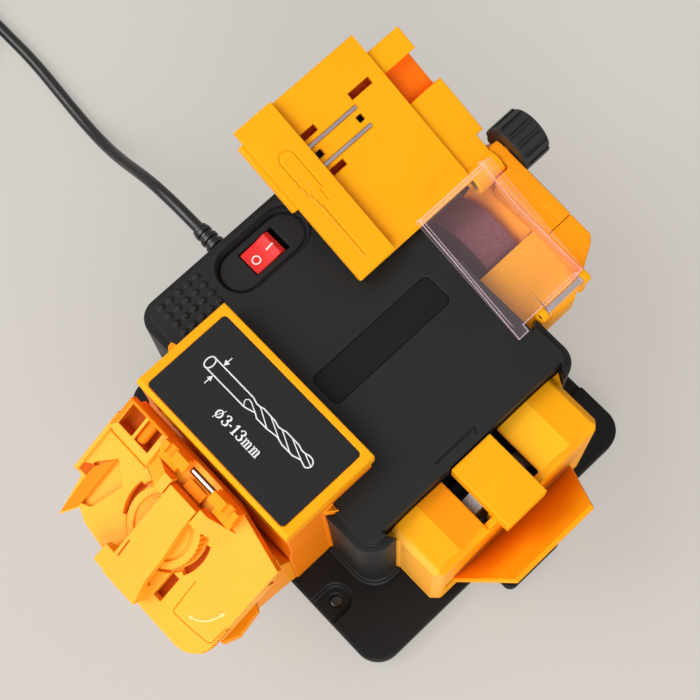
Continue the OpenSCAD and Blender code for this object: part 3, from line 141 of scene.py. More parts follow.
def metres(point: Point) -> Vector:
    """Turns a point in millimetres into metres."""
    return Vector(point) * MM


def shift(x: float, y: float, z: float) -> Matrix:
    """Gives a move in millimetres."""
    return Matrix.Translation(metres((x, y, z)))


def looks_up(face: MeshPolygon) -> bool:
    """Says whether a face looks straight up."""
    return face.normal.z > LOOKS_UP


def middle_in(place: Matrix, face: MeshPolygon) -> Vector:
    """Gives a face's middle in a frame, in millimetres."""
    return place.inverted() @ face.center / MM


def inside(point: Point, low: Point, high: Point) -> bool:
    """Says whether a point lies between two corners."""
    return all(a < p < b for a, p, b in zip(low, point, high, strict=True))


def open_faces(obj: Object, wanted: FaceTest) -> None:
    """Opens a mesh in edit mode with only the wanted faces selected.

    Args:
        obj: The mesh to open.
        wanted: Says of each face whether it is selected.
    """
    pick_up(obj)
    bpy.context.tool_settings.mesh_select_mode = (False, False, True)
    bpy.ops.object.mode_set(mode="EDIT")
    bpy.ops.mesh.select_all(action="DESELECT")
    bpy.ops.object.mode_set(mode="OBJECT")
    for face in obj.data.polygons:
        face.select = wanted(face)
    bpy.ops.object.mode_set(mode="EDIT")


def open_all(obj: Object) -> None:
    """Opens a mesh in edit mode with everything selected.

    Args:
        obj: The mesh to open.
    """
    pick_up(obj)
    bpy.ops.object.mode_set(mode="EDIT")
    bpy.ops.mesh.select_all(action="SELECT")


def close_mesh() -> None:
    """Goes back from edit mode to object mode."""
    bpy.ops.object.mode_set(mode="OBJECT")


def press(obj: Object, kind: Press, **settings: object) -> None:
    """Adds a modifier to a mesh and applies it.

    Args:
        obj: The mesh to change.
        kind: Which modifier.
        settings: The modifier's own settings.
    """
    pick_up(obj)
    modifier = obj.modifiers.new(kind.name.title(), kind.value)
    for name, value in settings.items():
        setattr(modifier, name, value)
    bpy.ops.object.modifier_apply(modifier=modifier.name)


def tuck(obj: Object, source: Object, reach: float) -> None:
    """Draws corners that a rounding threw out back onto the surface it was cast from.

    Args:
        obj: The rounded mesh.
        source: The mesh that it was cast from.
        reach: How far in millimetres a corner may stand off that surface.
    """
    for vertex in obj.data.vertices:
        _, place, _, _ = source.closest_point_on_mesh(vertex.co)
        if (place - vertex.co).length > reach * MM:
            vertex.co = place


def soften(
    obj: Object, edge: float, segments: int = 2, fold: float = FOLD, rim_slot: int = -1, source: Object | None = None
) -> Object:
    """Rounds a mesh's sharp edges and smooths its shading.

    Args:
        obj: The mesh to soften.
        edge: Width of the rounding in millimetres.
        segments: Facets across the rounding.
        fold: Edges sharper than this many degrees stay sharp in the shading.
        rim_slot: Material slot of the rounding, or -1 for that of its neighbours.
        source: The mesh that it was cast from, if there is one.

    Returns:
        The same object.
    """
    pick_up(obj)
    bpy.ops.object.shade_smooth_by_angle(angle=math.radians(fold))
    press(
        obj, Press.BEVEL, width=edge * MM, segments=segments, limit_method="ANGLE", angle_limit=math.radians(FOLD),
        use_clamp_overlap=False, miter_outer="MITER_SHARP", loop_slide=False, face_strength_mode="FSTR_ALL",
        material=rim_slot,
    )
    if source is not None:
        tuck(obj, source, TUCK_SHARE * edge + TUCK_SLACK)
    press(obj, Press.WEIGHTED_NORMAL, mode="FACE_AREA", weight=50, keep_sharp=True, use_face_influence=True)
    return obj


def recalculate(obj: Object) -> None:
    """Merges a mesh's doubles and points its faces outwards.

    Args:
        obj: The mesh to mend.
    """
    open_all(obj)
    bpy.ops.mesh.remove_doubles(threshold=MERGE_MADE * MM)
    bpy.ops.mesh.normals_make_consistent(inside=False)
    close_mesh()


def cast(node: str) -> Object:
    """Copies a CAD node's skin, with its doubles merged.

    Args:
        node: The node's name.

    Returns:
        The copy.
    """
    obj = bpy.data.objects.new(f"{node}_skin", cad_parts[node].data.copy())
    bpy.context.scene.collection.objects.link(obj)
    pick_up(obj)
    bpy.ops.mesh.customdata_custom_splitnormals_clear()
    open_all(obj)
    bpy.ops.mesh.remove_doubles(threshold=MERGE_CAST * MM)
    close_mesh()
    return obj


def named(name: str) -> Object:
    """Names the primitive that was just added, and puts its place into its mesh.

    Args:
        name: The piece's name.

    Returns:
        The piece.
    """
    bpy.ops.object.transform_apply(location=True, rotation=True, scale=True)
    bpy.context.object.name = name
    return bpy.context.object


def block(name: str, low: Point, high: Point) -> Object:
    """Adds a box between two corners.

    Args:
        name: The piece's name.
        low: Its lowest corner in millimetres.
        high: Its highest corner.

    Returns:
        The new piece.
    """
    put_down()
    a, b = metres(low), metres(high)
    bpy.ops.mesh.primitive_cube_add(size=1.0, location=(a + b) / 2, scale=b - a)
    return named(name)


def cup(name: str, low: Point, high: Point, wall: float, depth: float) -> Object:
    """Adds a box between two corners that is hollow from its top.

    Args:
        name: The piece's name.
        low: Its lowest corner in millimetres.
        high: Its highest corner.
        wall: Thickness of its walls.
        depth: Depth of its hollow.

    Returns:
        The new piece.
    """
    obj = block(name, low, high)
    open_faces(obj, looks_up)
    bpy.ops.mesh.inset(thickness=wall * MM, depth=0.0)
    bpy.ops.mesh.extrude_region_move(TRANSFORM_OT_translate={"value": (0.0, 0.0, -depth * MM)})
    close_mesh()
    return obj


def drum(name: str, foot: Point, radius: float, height: float, sides: int) -> Object:
    """Adds an upright drum.

    Args:
        name: The piece's name.
        foot: The middle of its underside, in millimetres.
        radius: Its radius.
        height: Its height.
        sides: Facets round it.

    Returns:
        The new piece.
    """
    put_down()
    middle = metres(foot) + Vector((0.0, 0.0, height * MM / 2))
    bpy.ops.mesh.primitive_cylinder_add(vertices=sides, radius=radius * MM, depth=height * MM, location=middle)
    return named(name)


def slab(name: str, outline: Sequence[Point], low: float, high: float) -> Object:
    """Extrudes a flat outline upwards into a closed slab.

    Args:
        name: The piece's name.
        outline: The outline's corners in X and Y, in millimetres.
        low: Height of the underside.
        high: Height of the top.

    Returns:
        The new piece.
    """
    put_down()
    bpy.ops.mesh.primitive_circle_add(vertices=len(outline), radius=MM, fill_type="NGON")
    obj = bpy.context.object
    obj.name = name
    for vertex, (x, y) in zip(obj.data.vertices, outline, strict=True):
        vertex.co = metres((x, y, low))
    open_faces(obj, lambda face: True)
    bpy.ops.mesh.extrude_region_move(TRANSFORM_OT_translate={"value": (0.0, 0.0, (high - low) * MM)})
    close_mesh()
    recalculate(obj)
    return obj


def wire(name: str, points: Sequence[Point], radius: float, facets: int) -> Object:
    """Runs a round wire through points.

    Args:
        name: The piece's name.
        points: The points in metres.
        radius: The wire's radius in metres.
        facets: How finely its section is rounded, or 0 for a diamond.

    Returns:
        The new curve.
    """
    curve = bpy.data.curves.new(name, "CURVE")
    curve.dimensions = "3D"
    curve.bevel_depth = radius
    curve.bevel_resolution = facets
    curve.use_fill_caps = True
    spline = curve.splines.new("POLY")
    spline.points.add(len(points) - 1)
    for knot, point in zip(spline.points, points, strict=True):
        knot.co = (*point, 1.0)
    obj = bpy.data.objects.new(name, curve)
    bpy.context.scene.collection.objects.link(obj)
    return obj


def stroke(
    name: str, points: Sequence[Point], halves: Sequence[float], closed: bool = False, facets: int = 2
) -> Object:
    """Draws a flat stroke of changing width and makes it a mesh.

    Args:
        name: The piece's name.
        points: The stroke's points in X and Y, in millimetres.
        halves: Half its width at each point.
        closed: Whether the stroke joins its own start.
        facets: How finely its section is rounded, or 0 for a diamond.

    Returns:
        The new piece, lying about Z = 0.
    """
    obj = wire(name, [(x * MM, y * MM, 0.0) for x, y in points], MM, facets)
    spline = obj.data.splines[0]
    for knot, half in zip(spline.points, halves, strict=True):
        knot.radius = half
    spline.use_cyclic_u = closed
    pick_up(obj)
    bpy.ops.object.convert(target="MESH")
    return bpy.context.object


def even_stroke(name: str, points: Sequence[Point], half: float, closed: bool = False, facets: int = 2) -> Object:
    """Draws a flat stroke of one width."""
    return stroke(name, points, (half,) * len(points), closed, facets)


def set_in_place(obj: Object, place: Matrix) -> Object:
    """Moves a mesh into a frame and leaves its object at the origin.

    Args:
        obj: The mesh to move.
        place: The frame.

    Returns:
        The same object.
    """
    pick_up(obj)
    obj.matrix_world = place @ obj.matrix_world
    bpy.ops.object.transform_apply(location=True, rotation=True, scale=True)
    return obj


def flattened(obj: Object, height: float, place: Matrix) -> Object:
    """Squeezes a stroke to a height in millimetres and moves it into a frame."""
    tall = max(vertex.co.z for vertex in obj.data.vertices) / MM
    return set_in_place(obj, place @ Matrix.Diagonal((1.0, 1.0, height / tall, 1.0)))


def join(name: str, pieces: Sequence[Object]) -> Object:
    """Joins several meshes into one piece.

    Args:
        name: The piece's name.
        pieces: The meshes.

    Returns:
        The joined piece.
    """
    put_down()
    for piece in pieces:
        piece.select_set(True)
    bpy.context.view_layer.objects.active = pieces[0]
    bpy.ops.object.join()
    obj = bpy.context.object
    obj.name = name
    return obj


def arc(centre: Point, radius: float, start: float, end: float, steps: int) -> list[Pair]:
    """Gives points on an arc in X and Y, with its angles in degrees."""
    angles = [math.radians(start + (end - start) * i / steps) for i in range(steps + 1)]
    return [(centre[0] + radius * math.cos(a), centre[1] + radius * math.sin(a)) for a in angles]


def oval(centre: Point, size: Pair) -> list[Pair]:
    """Gives points round an oval of half this width and length."""
    ring = arc((0.0, 0.0), 1.0, 0.0, 360.0, RING_STEPS)[:-1]
    return [(centre[0] + size[0] * x, centre[1] + size[1] * y) for x, y in ring]


def rounded_box(centre: Point, width: float, length: float, radius: float) -> list[Pair]:
    """Gives the outline of a box with round corners.

    Args:
        centre: The box's middle.
        width: Its size along X.
        length: Its size along Y.
        radius: Radius of its corners.

    Returns:
        The outline's points.
    """
    x, y = width / 2 - radius, length / 2 - radius
    corners = ((x, y, 0.0), (-x, y, 90.0), (-x, -y, 180.0), (x, -y, 270.0))
    return [
        point
        for right, up, start in corners
        for point in arc((centre[0] + right, centre[1] + up), radius, start, start + 90.0, CORNER_STEPS)
    ]


# ---------------------------------------------------------------------------------------------------------------------
# Finishes
# ---------------------------------------------------------------------------------------------------------------------


def combined(tree: NodeTree, operation: str, first: NodeSocket, second: NodeSocket) -> NodeSocket:
    """Adds a node that works out one value from two.

    Args:
        tree: Where the node is added.
        operation: Blender's name of what it does.
        first: The first value.
        second: The second value.

    Returns:
        The new value.
    """
    node = tree.nodes.new("ShaderNodeMath")
    node.operation = operation
    tree.links.new(first, node.inputs[0])
    tree.links.new(second, node.inputs[1])
    return node.outputs[0]


def seen_rays(tree: NodeTree) -> NodeSocket:
    """Gives a value that is 1 for rays from the camera, from gloss and through clear pieces.

    Args:
        tree: Where its nodes are added.

    Returns:
        The value.
    """
    rays = tree.nodes.new("ShaderNodeLightPath").outputs
    seen = combined(tree, "MAXIMUM", rays["Is Camera Ray"], rays["Is Glossy Ray"])
    return combined(tree, "MAXIMUM", seen, rays["Is Transmission Ray"])


def mix_shaders(tree: NodeTree, share: NodeSocket, first: Node, second: Node, output: str) -> None:
    """Mixes two shaders and leads the mix to the output.

    Args:
        tree: Where the mix is added.
        share: The second shader's share.
        first: The first shader.
        second: The second shader.
        output: Name of the output node.
    """
    mix = tree.nodes.new("ShaderNodeMixShader")
    for socket, value in zip(mix.inputs, (share, first.outputs[0], second.outputs[0]), strict=True):
        tree.links.new(value, socket)
    tree.links.new(mix.outputs[0], tree.nodes[output].inputs["Surface"])


class NodeBench:
    """Lays out the nodes of one material."""

    def __init__(self, name: str) -> None:
        """Starts a material with its shader and its object coordinates.

        Args:
            name: The material's name.
        """
        self.material: Material = bpy.data.materials.new(name)
        self.material.use_nodes = True
        self.tree: NodeTree = self.material.node_tree
        self.shader: Node = self.tree.nodes["Principled BSDF"]
        self.place: NodeSocket = self.add("ShaderNodeTexCoord").outputs["Object"]

    def add(self, kind: str, **inputs: object) -> Node:
        """Adds a node and sets or links its inputs.

        Args:
            kind: Blender's name of the node.
            inputs: Values or sockets by input name, with _ for a space.

        Returns:
            The new node.
        """
        node = self.tree.nodes.new(kind)
        self.feed(node, **inputs)
        return node

    def feed(self, node: Node, **inputs: object) -> None:
        """Sets a node's inputs, or links them to other nodes.

        Args:
            node: The node.
            inputs: Values or sockets by input name, with _ for a space.
        """
        for name, value in inputs.items():
            socket = node.inputs[name.replace("_", " ")]
            if isinstance(value, NodeSocket):
                self.tree.links.new(value, socket)
            else:
                socket.default_value = value

    def set(self, **inputs: object) -> None:
        """Sets or links the shader's inputs."""
        self.feed(self.shader, **inputs)

    def stretched(self, scale: Triple) -> NodeSocket:
        """Gives the object coordinates stretched along their axes."""
        return self.add("ShaderNodeMapping", Vector=self.place, Scale=scale).outputs["Vector"]

    def noise(self, size: float, detail: float, place: NodeSocket | None = None) -> NodeSocket:
        """Gives a noise.

        Args:
            size: About how many millimetres its grains are across.
            detail: How many finer noises it holds.
            place: Its coordinates, if not the object's own.

        Returns:
            The noise's value.
        """
        node = self.add(
            "ShaderNodeTexNoise", Vector=place or self.place, Scale=1.0 / (size * MM), Detail=detail, Roughness=0.55
        )
        return node.outputs["Fac"]

    def ramp(self, fac: NodeSocket, stops: Sequence[tuple[float, Colour]]) -> NodeSocket:
        """Maps a value onto colours.

        Args:
            fac: The value.
            stops: Values and their colours.

        Returns:
            The colour.
        """
        node = self.add("ShaderNodeValToRGB", Fac=fac)
        elements = node.color_ramp.elements
        while len(elements) < len(stops):
            elements.new(NOISE_MIDDLE)
        for element, (position, colour) in zip(elements, stops, strict=True):
            element.position = position
            element.color = (*colour, 1.0)
        return node.outputs["Color"]

    def between(self, fac: NodeSocket, low: float, high: float) -> NodeSocket:
        """Maps a noise's usual span onto a range."""
        span = {"From_Min": NOISE_LOW, "From_Max": NOISE_HIGH, "To_Min": low, "To_Max": high}
        return self.add("ShaderNodeMapRange", Value=fac, **span).outputs["Result"]

    def bump(self, height: NodeSocket, strength: float, depth: float, under: NodeSocket | None = None) -> NodeSocket:
        """Gives a normal that follows a height.

        Args:
            height: The height's value.
            strength: How strongly the normal follows it.
            depth: How many millimetres the height's whole span is.
            under: The normal below it, if there is one.

        Returns:
            The normal.
        """
        node = self.add("ShaderNodeBump", Height=height, Strength=strength, Distance=depth * MM)
        if under is not None:
            self.feed(node, Normal=under)
        return node.outputs["Normal"]


def shaded(colour: Colour, share: float) -> Colour:
    """Makes a colour lighter or darker by a share."""
    return tuple(min(1.0, c * (1.0 + share)) for c in colour)


@dataclass(frozen=True)
class Finish:
    """What every finish has: its name and the name of its material slot."""

    name: str
    slot: str

    def material(self) -> Material:
        """Gives the finish's material, made the first time it is asked for.

        Returns:
            The material.
        """
        found = bpy.data.materials.get(self.name)
        if found is not None:
            return found
        bench = NodeBench(self.name)
        self.lay_out(bench)
        return bench.material

    def lay_out(self, bench: NodeBench) -> None:
        """Lays out the finish's nodes."""
        raise NotImplementedError


@dataclass(frozen=True)
class MouldedPlastic(Finish):
    """Injection moulded plastic with a fine eroded grain and slow flow marks."""

    colour: Colour
    roughness: float
    grain: float
    grain_size: float
    mottle: float
    specular: float
    grain_depth: float = 0.06
    flow_size: float = 34.0
    flow_stretch: Triple = (1.0, 0.6, 1.0)
    wave_size: float = 11.0
    wave_bump: Pair = (0.05, 0.1)
    gloss_spread: float = 0.05

    def lay_out(self, bench: NodeBench) -> None:
        """Lays out flow marks in the colour, uneven gloss and a grained surface.

        Args:
            bench: Where the nodes go.
        """
        flow = bench.noise(self.flow_size, detail=4.0, place=bench.stretched(self.flow_stretch))
        fine = bench.noise(self.grain_size, detail=2.0)
        wave = bench.noise(self.wave_size, detail=2.0)
        low, high = shaded(self.colour, -self.mottle), shaded(self.colour, self.mottle)
        bench.set(
            Base_Color=bench.ramp(flow, ((NOISE_LOW, low), (NOISE_MIDDLE, self.colour), (NOISE_HIGH, high))),
            Roughness=bench.between(wave, self.roughness - self.gloss_spread, self.roughness + self.gloss_spread),
            Specular_IOR_Level=self.specular,
            Normal=bench.bump(fine, self.grain, self.grain_depth, bench.bump(wave, *self.wave_bump)),
        )


@dataclass(frozen=True)
class GroundMetal(Finish):
    """Metal with grinding streaks along one axis."""

    colour: Colour
    streak: Triple = (0.08, 1.0, 1.0)
    roughness: float = 0.3
    streak_size: float = 0.5
    streak_bump: Pair = (0.2, 0.03)
    tarnish_size: float = 9.0
    tarnish: tuple[Pair, Pair] = ((0.32, -0.14), (0.68, 0.05))
    gloss_spread: Pair = (-0.09, 0.12)

    def lay_out(self, bench: NodeBench) -> None:
        """Lays out streaks in the gloss and the surface, and a tarnish in the colour.

        Args:
            bench: Where the nodes go.
        """
        streaks = bench.noise(self.streak_size, detail=4.0, place=bench.stretched(self.streak))
        tarnish = bench.noise(self.tarnish_size, detail=3.0)
        bench.set(
            Base_Color=bench.ramp(tarnish, [(stop, shaded(self.colour, share)) for stop, share in self.tarnish]),
            Metallic=1.0,
            Roughness=bench.between(streaks, *(self.roughness + spread for spread in self.gloss_spread)),
            Normal=bench.bump(streaks, *self.streak_bump),
        )


@dataclass(frozen=True)
class Grit(Finish):
    """Abrasive grains bonded on a wheel."""

    dark: Colour
    light: Colour
    grain: float
    roughness: float
    grain_span: Pair = (0.12, 0.62)
    grain_bump: Pair = (0.8, 0.12)
    patch_size: float = 2.2
    patch_bump: Pair = (0.3, 0.2)
    gloss_spread: Pair = (-0.12, 0.15)

    def lay_out(self, bench: NodeBench) -> None:
        """Lays out grains of uneven colour that stand up from their bond.

        Args:
            bench: Where the nodes go.
        """
        cells = bench.add("ShaderNodeTexVoronoi", Vector=bench.place, Scale=1.0 / (self.grain * MM)).outputs["Distance"]
        patches = bench.noise(self.patch_size, detail=4.0)
        bench.set(
            Base_Color=bench.ramp(cells, list(zip(self.grain_span, (self.light, self.dark), strict=True))),
            Roughness=bench.between(patches, *(self.roughness + spread for spread in self.gloss_spread)),
            Normal=bench.bump(cells, *self.grain_bump, bench.bump(patches, *self.patch_bump)),
        )


@dataclass(frozen=True)
class ClearPlastic(Finish):
    """Clear moulded plastic with a faint tint."""

    colour: Colour
    cover: float
    mottle: float = 0.03
    wave_size: float = 14.0
    wave_bump: Pair = (0.04, 0.1)
    gloss: Pair = (0.03, 0.06)

    def lay_out(self, bench: NodeBench) -> None:
        """Lays out a clear body with faint waves in its surface.

        Args:
            bench: Where the nodes go.
        """
        wave = bench.noise(self.wave_size, detail=2.0)
        dim = shaded(self.colour, -self.mottle)
        bench.set(
            Base_Color=bench.ramp(wave, ((NOISE_LOW, dim), (NOISE_HIGH, self.colour))),
            Alpha=self.cover,
            IOR=1.5,
            Roughness=bench.between(wave, *self.gloss),
            Specular_IOR_Level=1.0,
            Normal=bench.bump(wave, *self.wave_bump),
        )


@dataclass(frozen=True)
class Print(Finish):
    """Screen printed ink, slightly uneven."""

    colour: Colour
    thinning: tuple[Pair, Pair] = ((0.25, -0.1), (0.55, 0.0))
    patch_size: float = 0.6
    patch_bump: Pair = (0.1, 0.02)
    gloss: Pair = (0.5, 0.65)

    def lay_out(self, bench: NodeBench) -> None:
        """Lays out ink that is a little thinner in places.

        Args:
            bench: Where the nodes go.
        """
        patches = bench.noise(self.patch_size, detail=3.0)
        bench.set(
            Base_Color=bench.ramp(patches, [(stop, shaded(self.colour, share)) for stop, share in self.thinning]),
            Roughness=bench.between(patches, *self.gloss),
            Normal=bench.bump(patches, *self.patch_bump),
        )


def orange(name: str, colour: Colour, mottle: float = 0.03, specular: float = 0.14) -> MouldedPlastic:
    """Gives one tone of the orange plastic; ORANGE is its own colour, and the other tones paint light and shade into
    it.
    """
    moulding = {"roughness": 0.5, "grain": 0.18, "grain_size": 0.45}
    return MouldedPlastic(name, "orange_plastic", colour, mottle=mottle, specular=specular, **moulding)


ORANGE = orange("orange_shell", (0.98, 0.395, 0.004))
# Painted light: the holder's tone is lighter and yellower, as if its slope faced the light.
ORANGE_LIT = orange("orange_painted_lit", (1.0, 0.412, 0.014), specular=0.4)
ORANGE_SHADE = orange("orange_shade", (0.97, 0.235, 0.003), 0.04, 0.12)
# Painted half shade: a tone between the lit orange and the painted shade.
ORANGE_PAINTED_HALF_SHADE = orange("orange_painted_half_shade", (0.98, 0.315, 0.004))
# Painted light: a lighter tone for top facets that slope towards the light.
ORANGE_PAINTED_LIGHT = orange("orange_painted_light", (1.0, 0.46, 0.012))
# Painted sheen: a paler tone for faces that look to -Y, towards the lamps.
ORANGE_PAINTED_SHEEN = orange("orange_painted_sheen", (1.0, 0.45, 0.05))
# Painted shade: a deep red-orange for a recess that lies in shade.
ORANGE_PAINTED_RECESS_SHADE = orange("orange_painted_recess_shade", (0.95, 0.165, 0.003), 0.04, 0.12)
# Painted shade: a deeper tone for the spark shield, which lies in shade.
ORANGE_PAINTED_SHIELD_SHADE = orange("orange_painted_shield_shade", (1.0, 0.36, 0.004), specular=0.12)
# Painted deep shade: a dark red-orange for pockets, hollows and slots.
ORANGE_PAINTED_DEEP_SHADE = orange("orange_painted_deep_shade", (0.6, 0.1, 0.002), 0.05, 0.1)

# Moulded plastics: colour, roughness, grain, grain size, mottle and specular level.
# Painted highlight: a pale orange for the raised swing arrow.
ORANGE_PAINTED_HIGHLIGHT = MouldedPlastic("orange_painted_highlight", "orange_plastic", (1.0, 0.62, 0.2), 0.4, 0.1, 0.45, 0.03, 0.4)
BLACK = MouldedPlastic("black_shell", "black_plastic", (0.0101, 0.011, 0.0115), 0.5, 0.5, 0.5, 0.12, 0.27)
BLACK_BASE = MouldedPlastic("black_base", "black_plastic", (0.0066, 0.0073, 0.008), 0.5, 0.5, 0.5, 0.12, 0.2)
# Smooth black of the lid's strip, also used, darker than the lid, as painted shade for the band round the switch
# recess.
BLACK_SMOOTH_AND_SHADE = MouldedPlastic("black_smooth_and_painted_shade", "black_plastic", (0.0055, 0.0056, 0.0058), 0.6, 0.12, 0.5, 0.1, 0.18)
BLACK_KNOB = MouldedPlastic("black_knob", "black_plastic", (0.011, 0.0113, 0.0118), 0.42, 0.3, 0.5, 0.1, 0.45)
RUBBER = MouldedPlastic("foot_rubber", "rubber", (0.012, 0.012, 0.012), 0.75, 0.6, 0.7, 0.2, 0.3)
SWITCH_BLACK = MouldedPlastic("switch_frame", "switch_black", (0.008, 0.008, 0.0085), 0.3, 0.1, 0.5, 0.1, 0.5)
ROCKER_RED = MouldedPlastic("red_rocker", "rocker_red", (0.76, 0.022, 0.02), 0.34, 0.08, 0.6, 0.05, 0.3)
LABEL_BLACK = MouldedPlastic("label_film", "label_black", (0.0115, 0.0117, 0.012), 0.6, 0.3, 0.3, 0.06, 0.22)
CORD_BLACK = MouldedPlastic("cord_sheath", "cord_black", (0.0075, 0.0078, 0.0085), 0.3, 0.2, 0.4, 0.15, 0.5)
TIE_BLACK = MouldedPlastic("tie_strap", "tie_black", (0.012, 0.012, 0.012), 0.6, 0.7, 0.8, 0.2, 0.3)
# Dark moulding of the inner parts, also used as painted shade in two of the tray's cups.
DARK_MOULDING_AND_SHADE = MouldedPlastic("dark_moulding_and_painted_shade", "dark_plastic", (0.02, 0.02, 0.022), 0.5, 0.4, 0.6, 0.1, 0.4)
GEAR = MouldedPlastic("gear_nylon", "gear_plastic", (0.62, 0.6, 0.52), 0.4, 0.2, 0.5, 0.05, 0.5)
FAN = MouldedPlastic("fan_nylon", "fan_plastic", (0.05, 0.09, 0.13), 0.45, 0.2, 0.5, 0.08, 0.5)
FERRITE = MouldedPlastic("ferrite_arc", "ferrite", (0.03, 0.029, 0.028), 0.6, 0.6, 0.4, 0.2, 0.4)

# Metals: colour, stretch of the streaks and roughness.
STEEL = GroundMetal("ground_steel", "steel", (0.6, 0.58, 0.6))
RAIL_STEEL = GroundMetal("rail_steel", "steel", (0.5, 0.44, 0.5), (1.0, 0.06, 1.0), 0.42)
ZINC = GroundMetal("zinc_plate", "zinc_steel", (0.52, 0.53, 0.55), (1.0, 1.0, 0.5), 0.38)
BRONZE = GroundMetal("sintered_bronze", "bronze", (0.5, 0.33, 0.14), (1.0, 1.0, 1.0), 0.5)
COPPER = GroundMetal("enamelled_copper", "copper_winding", (0.66, 0.27, 0.12), (0.1, 1.0, 1.0), 0.3)
BRASS = GroundMetal("turned_brass", "pin_brass", (0.72, 0.55, 0.25), (0.1, 1.0, 1.0), 0.28)

# Abrasives: dark and light colour, grain size and roughness.
DIAMOND = Grit("diamond_wheel", "diamond_grit", (0.6, 0.6, 0.61), (1.0, 1.0, 1.0), 0.5, 0.4)
DRILL_GRIT = Grit("drill_grit", "diamond_grit", (0.2, 0.2, 0.21), (0.42, 0.42, 0.43), 0.5, 0.45)
# The chisel wheel's grit is its own, but its dark purple-brown paints the shade of its chamber seen through the cover.
STONE_PAINTED_SHADE = Grit("corundum_wheel_painted_shade", "abrasive_stone", (0.15, 0.04, 0.055), (0.24, 0.08, 0.1), 0.6, 0.8)

# Clear plastics: colour and cover. Prints: colour.
CLEAR = ClearPlastic("clear_cover", "clear_plastic", (0.93, 0.68, 0.76), 0.04)
CLEAR_EDGE = ClearPlastic("clear_edge", "clear_plastic", (0.95, 0.72, 0.8), 0.45)
WHITE_INK = Print("white_ink", "label_black", (0.8, 0.8, 0.8))
WHITE_MARK = Print("white_mark", "rocker_red", (0.85, 0.82, 0.8))


# ---------------------------------------------------------------------------------------------------------------------
# Sub-assemblies
# ---------------------------------------------------------------------------------------------------------------------


@dataclass
class SubAssembly:
    """A group of pieces of the sharpener."""

    def keep(self, obj: Object, finish: Finish, body: Body, *nodes: str) -> Object:
        """Gives a piece its finish and its body, and hides the CAD nodes that it stands for.

        Args:
            obj: The finished mesh or curve.
            finish: Its finish.
            body: The CAD body that it rides on.
            nodes: The CAD nodes that it replaces.

        Returns:
            The same object.
        """
        obj.data.materials.clear()
        obj.data.materials.append(finish.material())
        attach(obj, body.value)
        if nodes:
            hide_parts(*nodes)
        LOG.info("%s rides on %s", obj.name, body.value)
        return obj

    def skin(
        self, node: str, finish: Finish, body: Body, edge: float, segments: int = 2, fold: float = FOLD
    ) -> Object:
        """Dresses a CAD node in a rounded copy of its own skin."""
        rounded = soften(cast(node), edge, segments, fold, source=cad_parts[node])
        return self.keep(rounded, finish, body, node)

    def tone(self, obj: Object, finish: Finish, wanted: FaceTest) -> None:
        """Gives some faces of a kept piece another finish.

        Args:
            obj: The kept piece.
            finish: The faces' own finish, of the same slot.
            wanted: Says of each face whether it takes it.
        """
        obj.data.materials.append(finish.material())
        for face in obj.data.polygons:
            if wanted(face):
                face.material_index = len(obj.data.materials) - 1

    def coat(self, finish: Finish, *nodes: str) -> None:
        """Gives CAD nodes that keep their shape a finish.

        Args:
            finish: The finish.
            nodes: The CAD nodes.
        """
        for node in nodes:
            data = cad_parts[node].data
            data.materials.clear()
            data.materials.append(finish.material())
            LOG.info("%s keeps its CAD shape", node)

    def build(self) -> None:
        """Makes and dresses the pieces."""
        raise NotImplementedError


@dataclass
class Case(SubAssembly):
    """Base plate, body and lid."""

    strip_place: Pair = (-4.9, 12.1)
    strip_size: Pair = (15.9, 68.0)
    strip_corner: float = 2.8
    strip_span: Pair = (92.9, 93.5)
    recess_place: Pair = (-70.9, 2.6)
    recess_size: Pair = (24.0, 49.0)
    recess_floor: float = 91.0
    recess_slope: float = 2.8

    def build(self) -> None:
        """Makes the base, its feet, the body and the lid."""
        self.skin("base_plate", BLACK_BASE, Body.MACHINE, edge=1.0)
        self.skin("rubber_feet", RUBBER, Body.MACHINE, edge=0.5)
        self.skin("body_housing", BLACK, Body.MACHINE, edge=0.8)
        self.skin("top_cover", BLACK, Body.MACHINE, edge=0.35)
        self.coat(STEEL, "case_screws")
        self.lay_strip()
        self.slope_recess()

    def lay_strip(self) -> None:
        """Lays the smooth strip in the lid's long recess."""
        strip = slab("lid_strip", rounded_box(self.strip_place, *self.strip_size, self.strip_corner), *self.strip_span)
        self.keep(soften(strip, edge=0.1), BLACK_SMOOTH_AND_SHADE, Body.MACHINE)

    def slope_recess(self) -> None:
        """Runs a sloped band round the foot of the switch recess's wall, in a darker black that paints its shade."""
        outline = rounded_box(self.recess_place, *self.recess_size, self.recess_size[0] / 2)
        band = even_stroke("recess_slope", outline, self.recess_slope, closed=True, facets=0)
        self.keep(set_in_place(band, shift(0.0, 0.0, self.recess_floor)), BLACK_SMOOTH_AND_SHADE, Body.MACHINE)


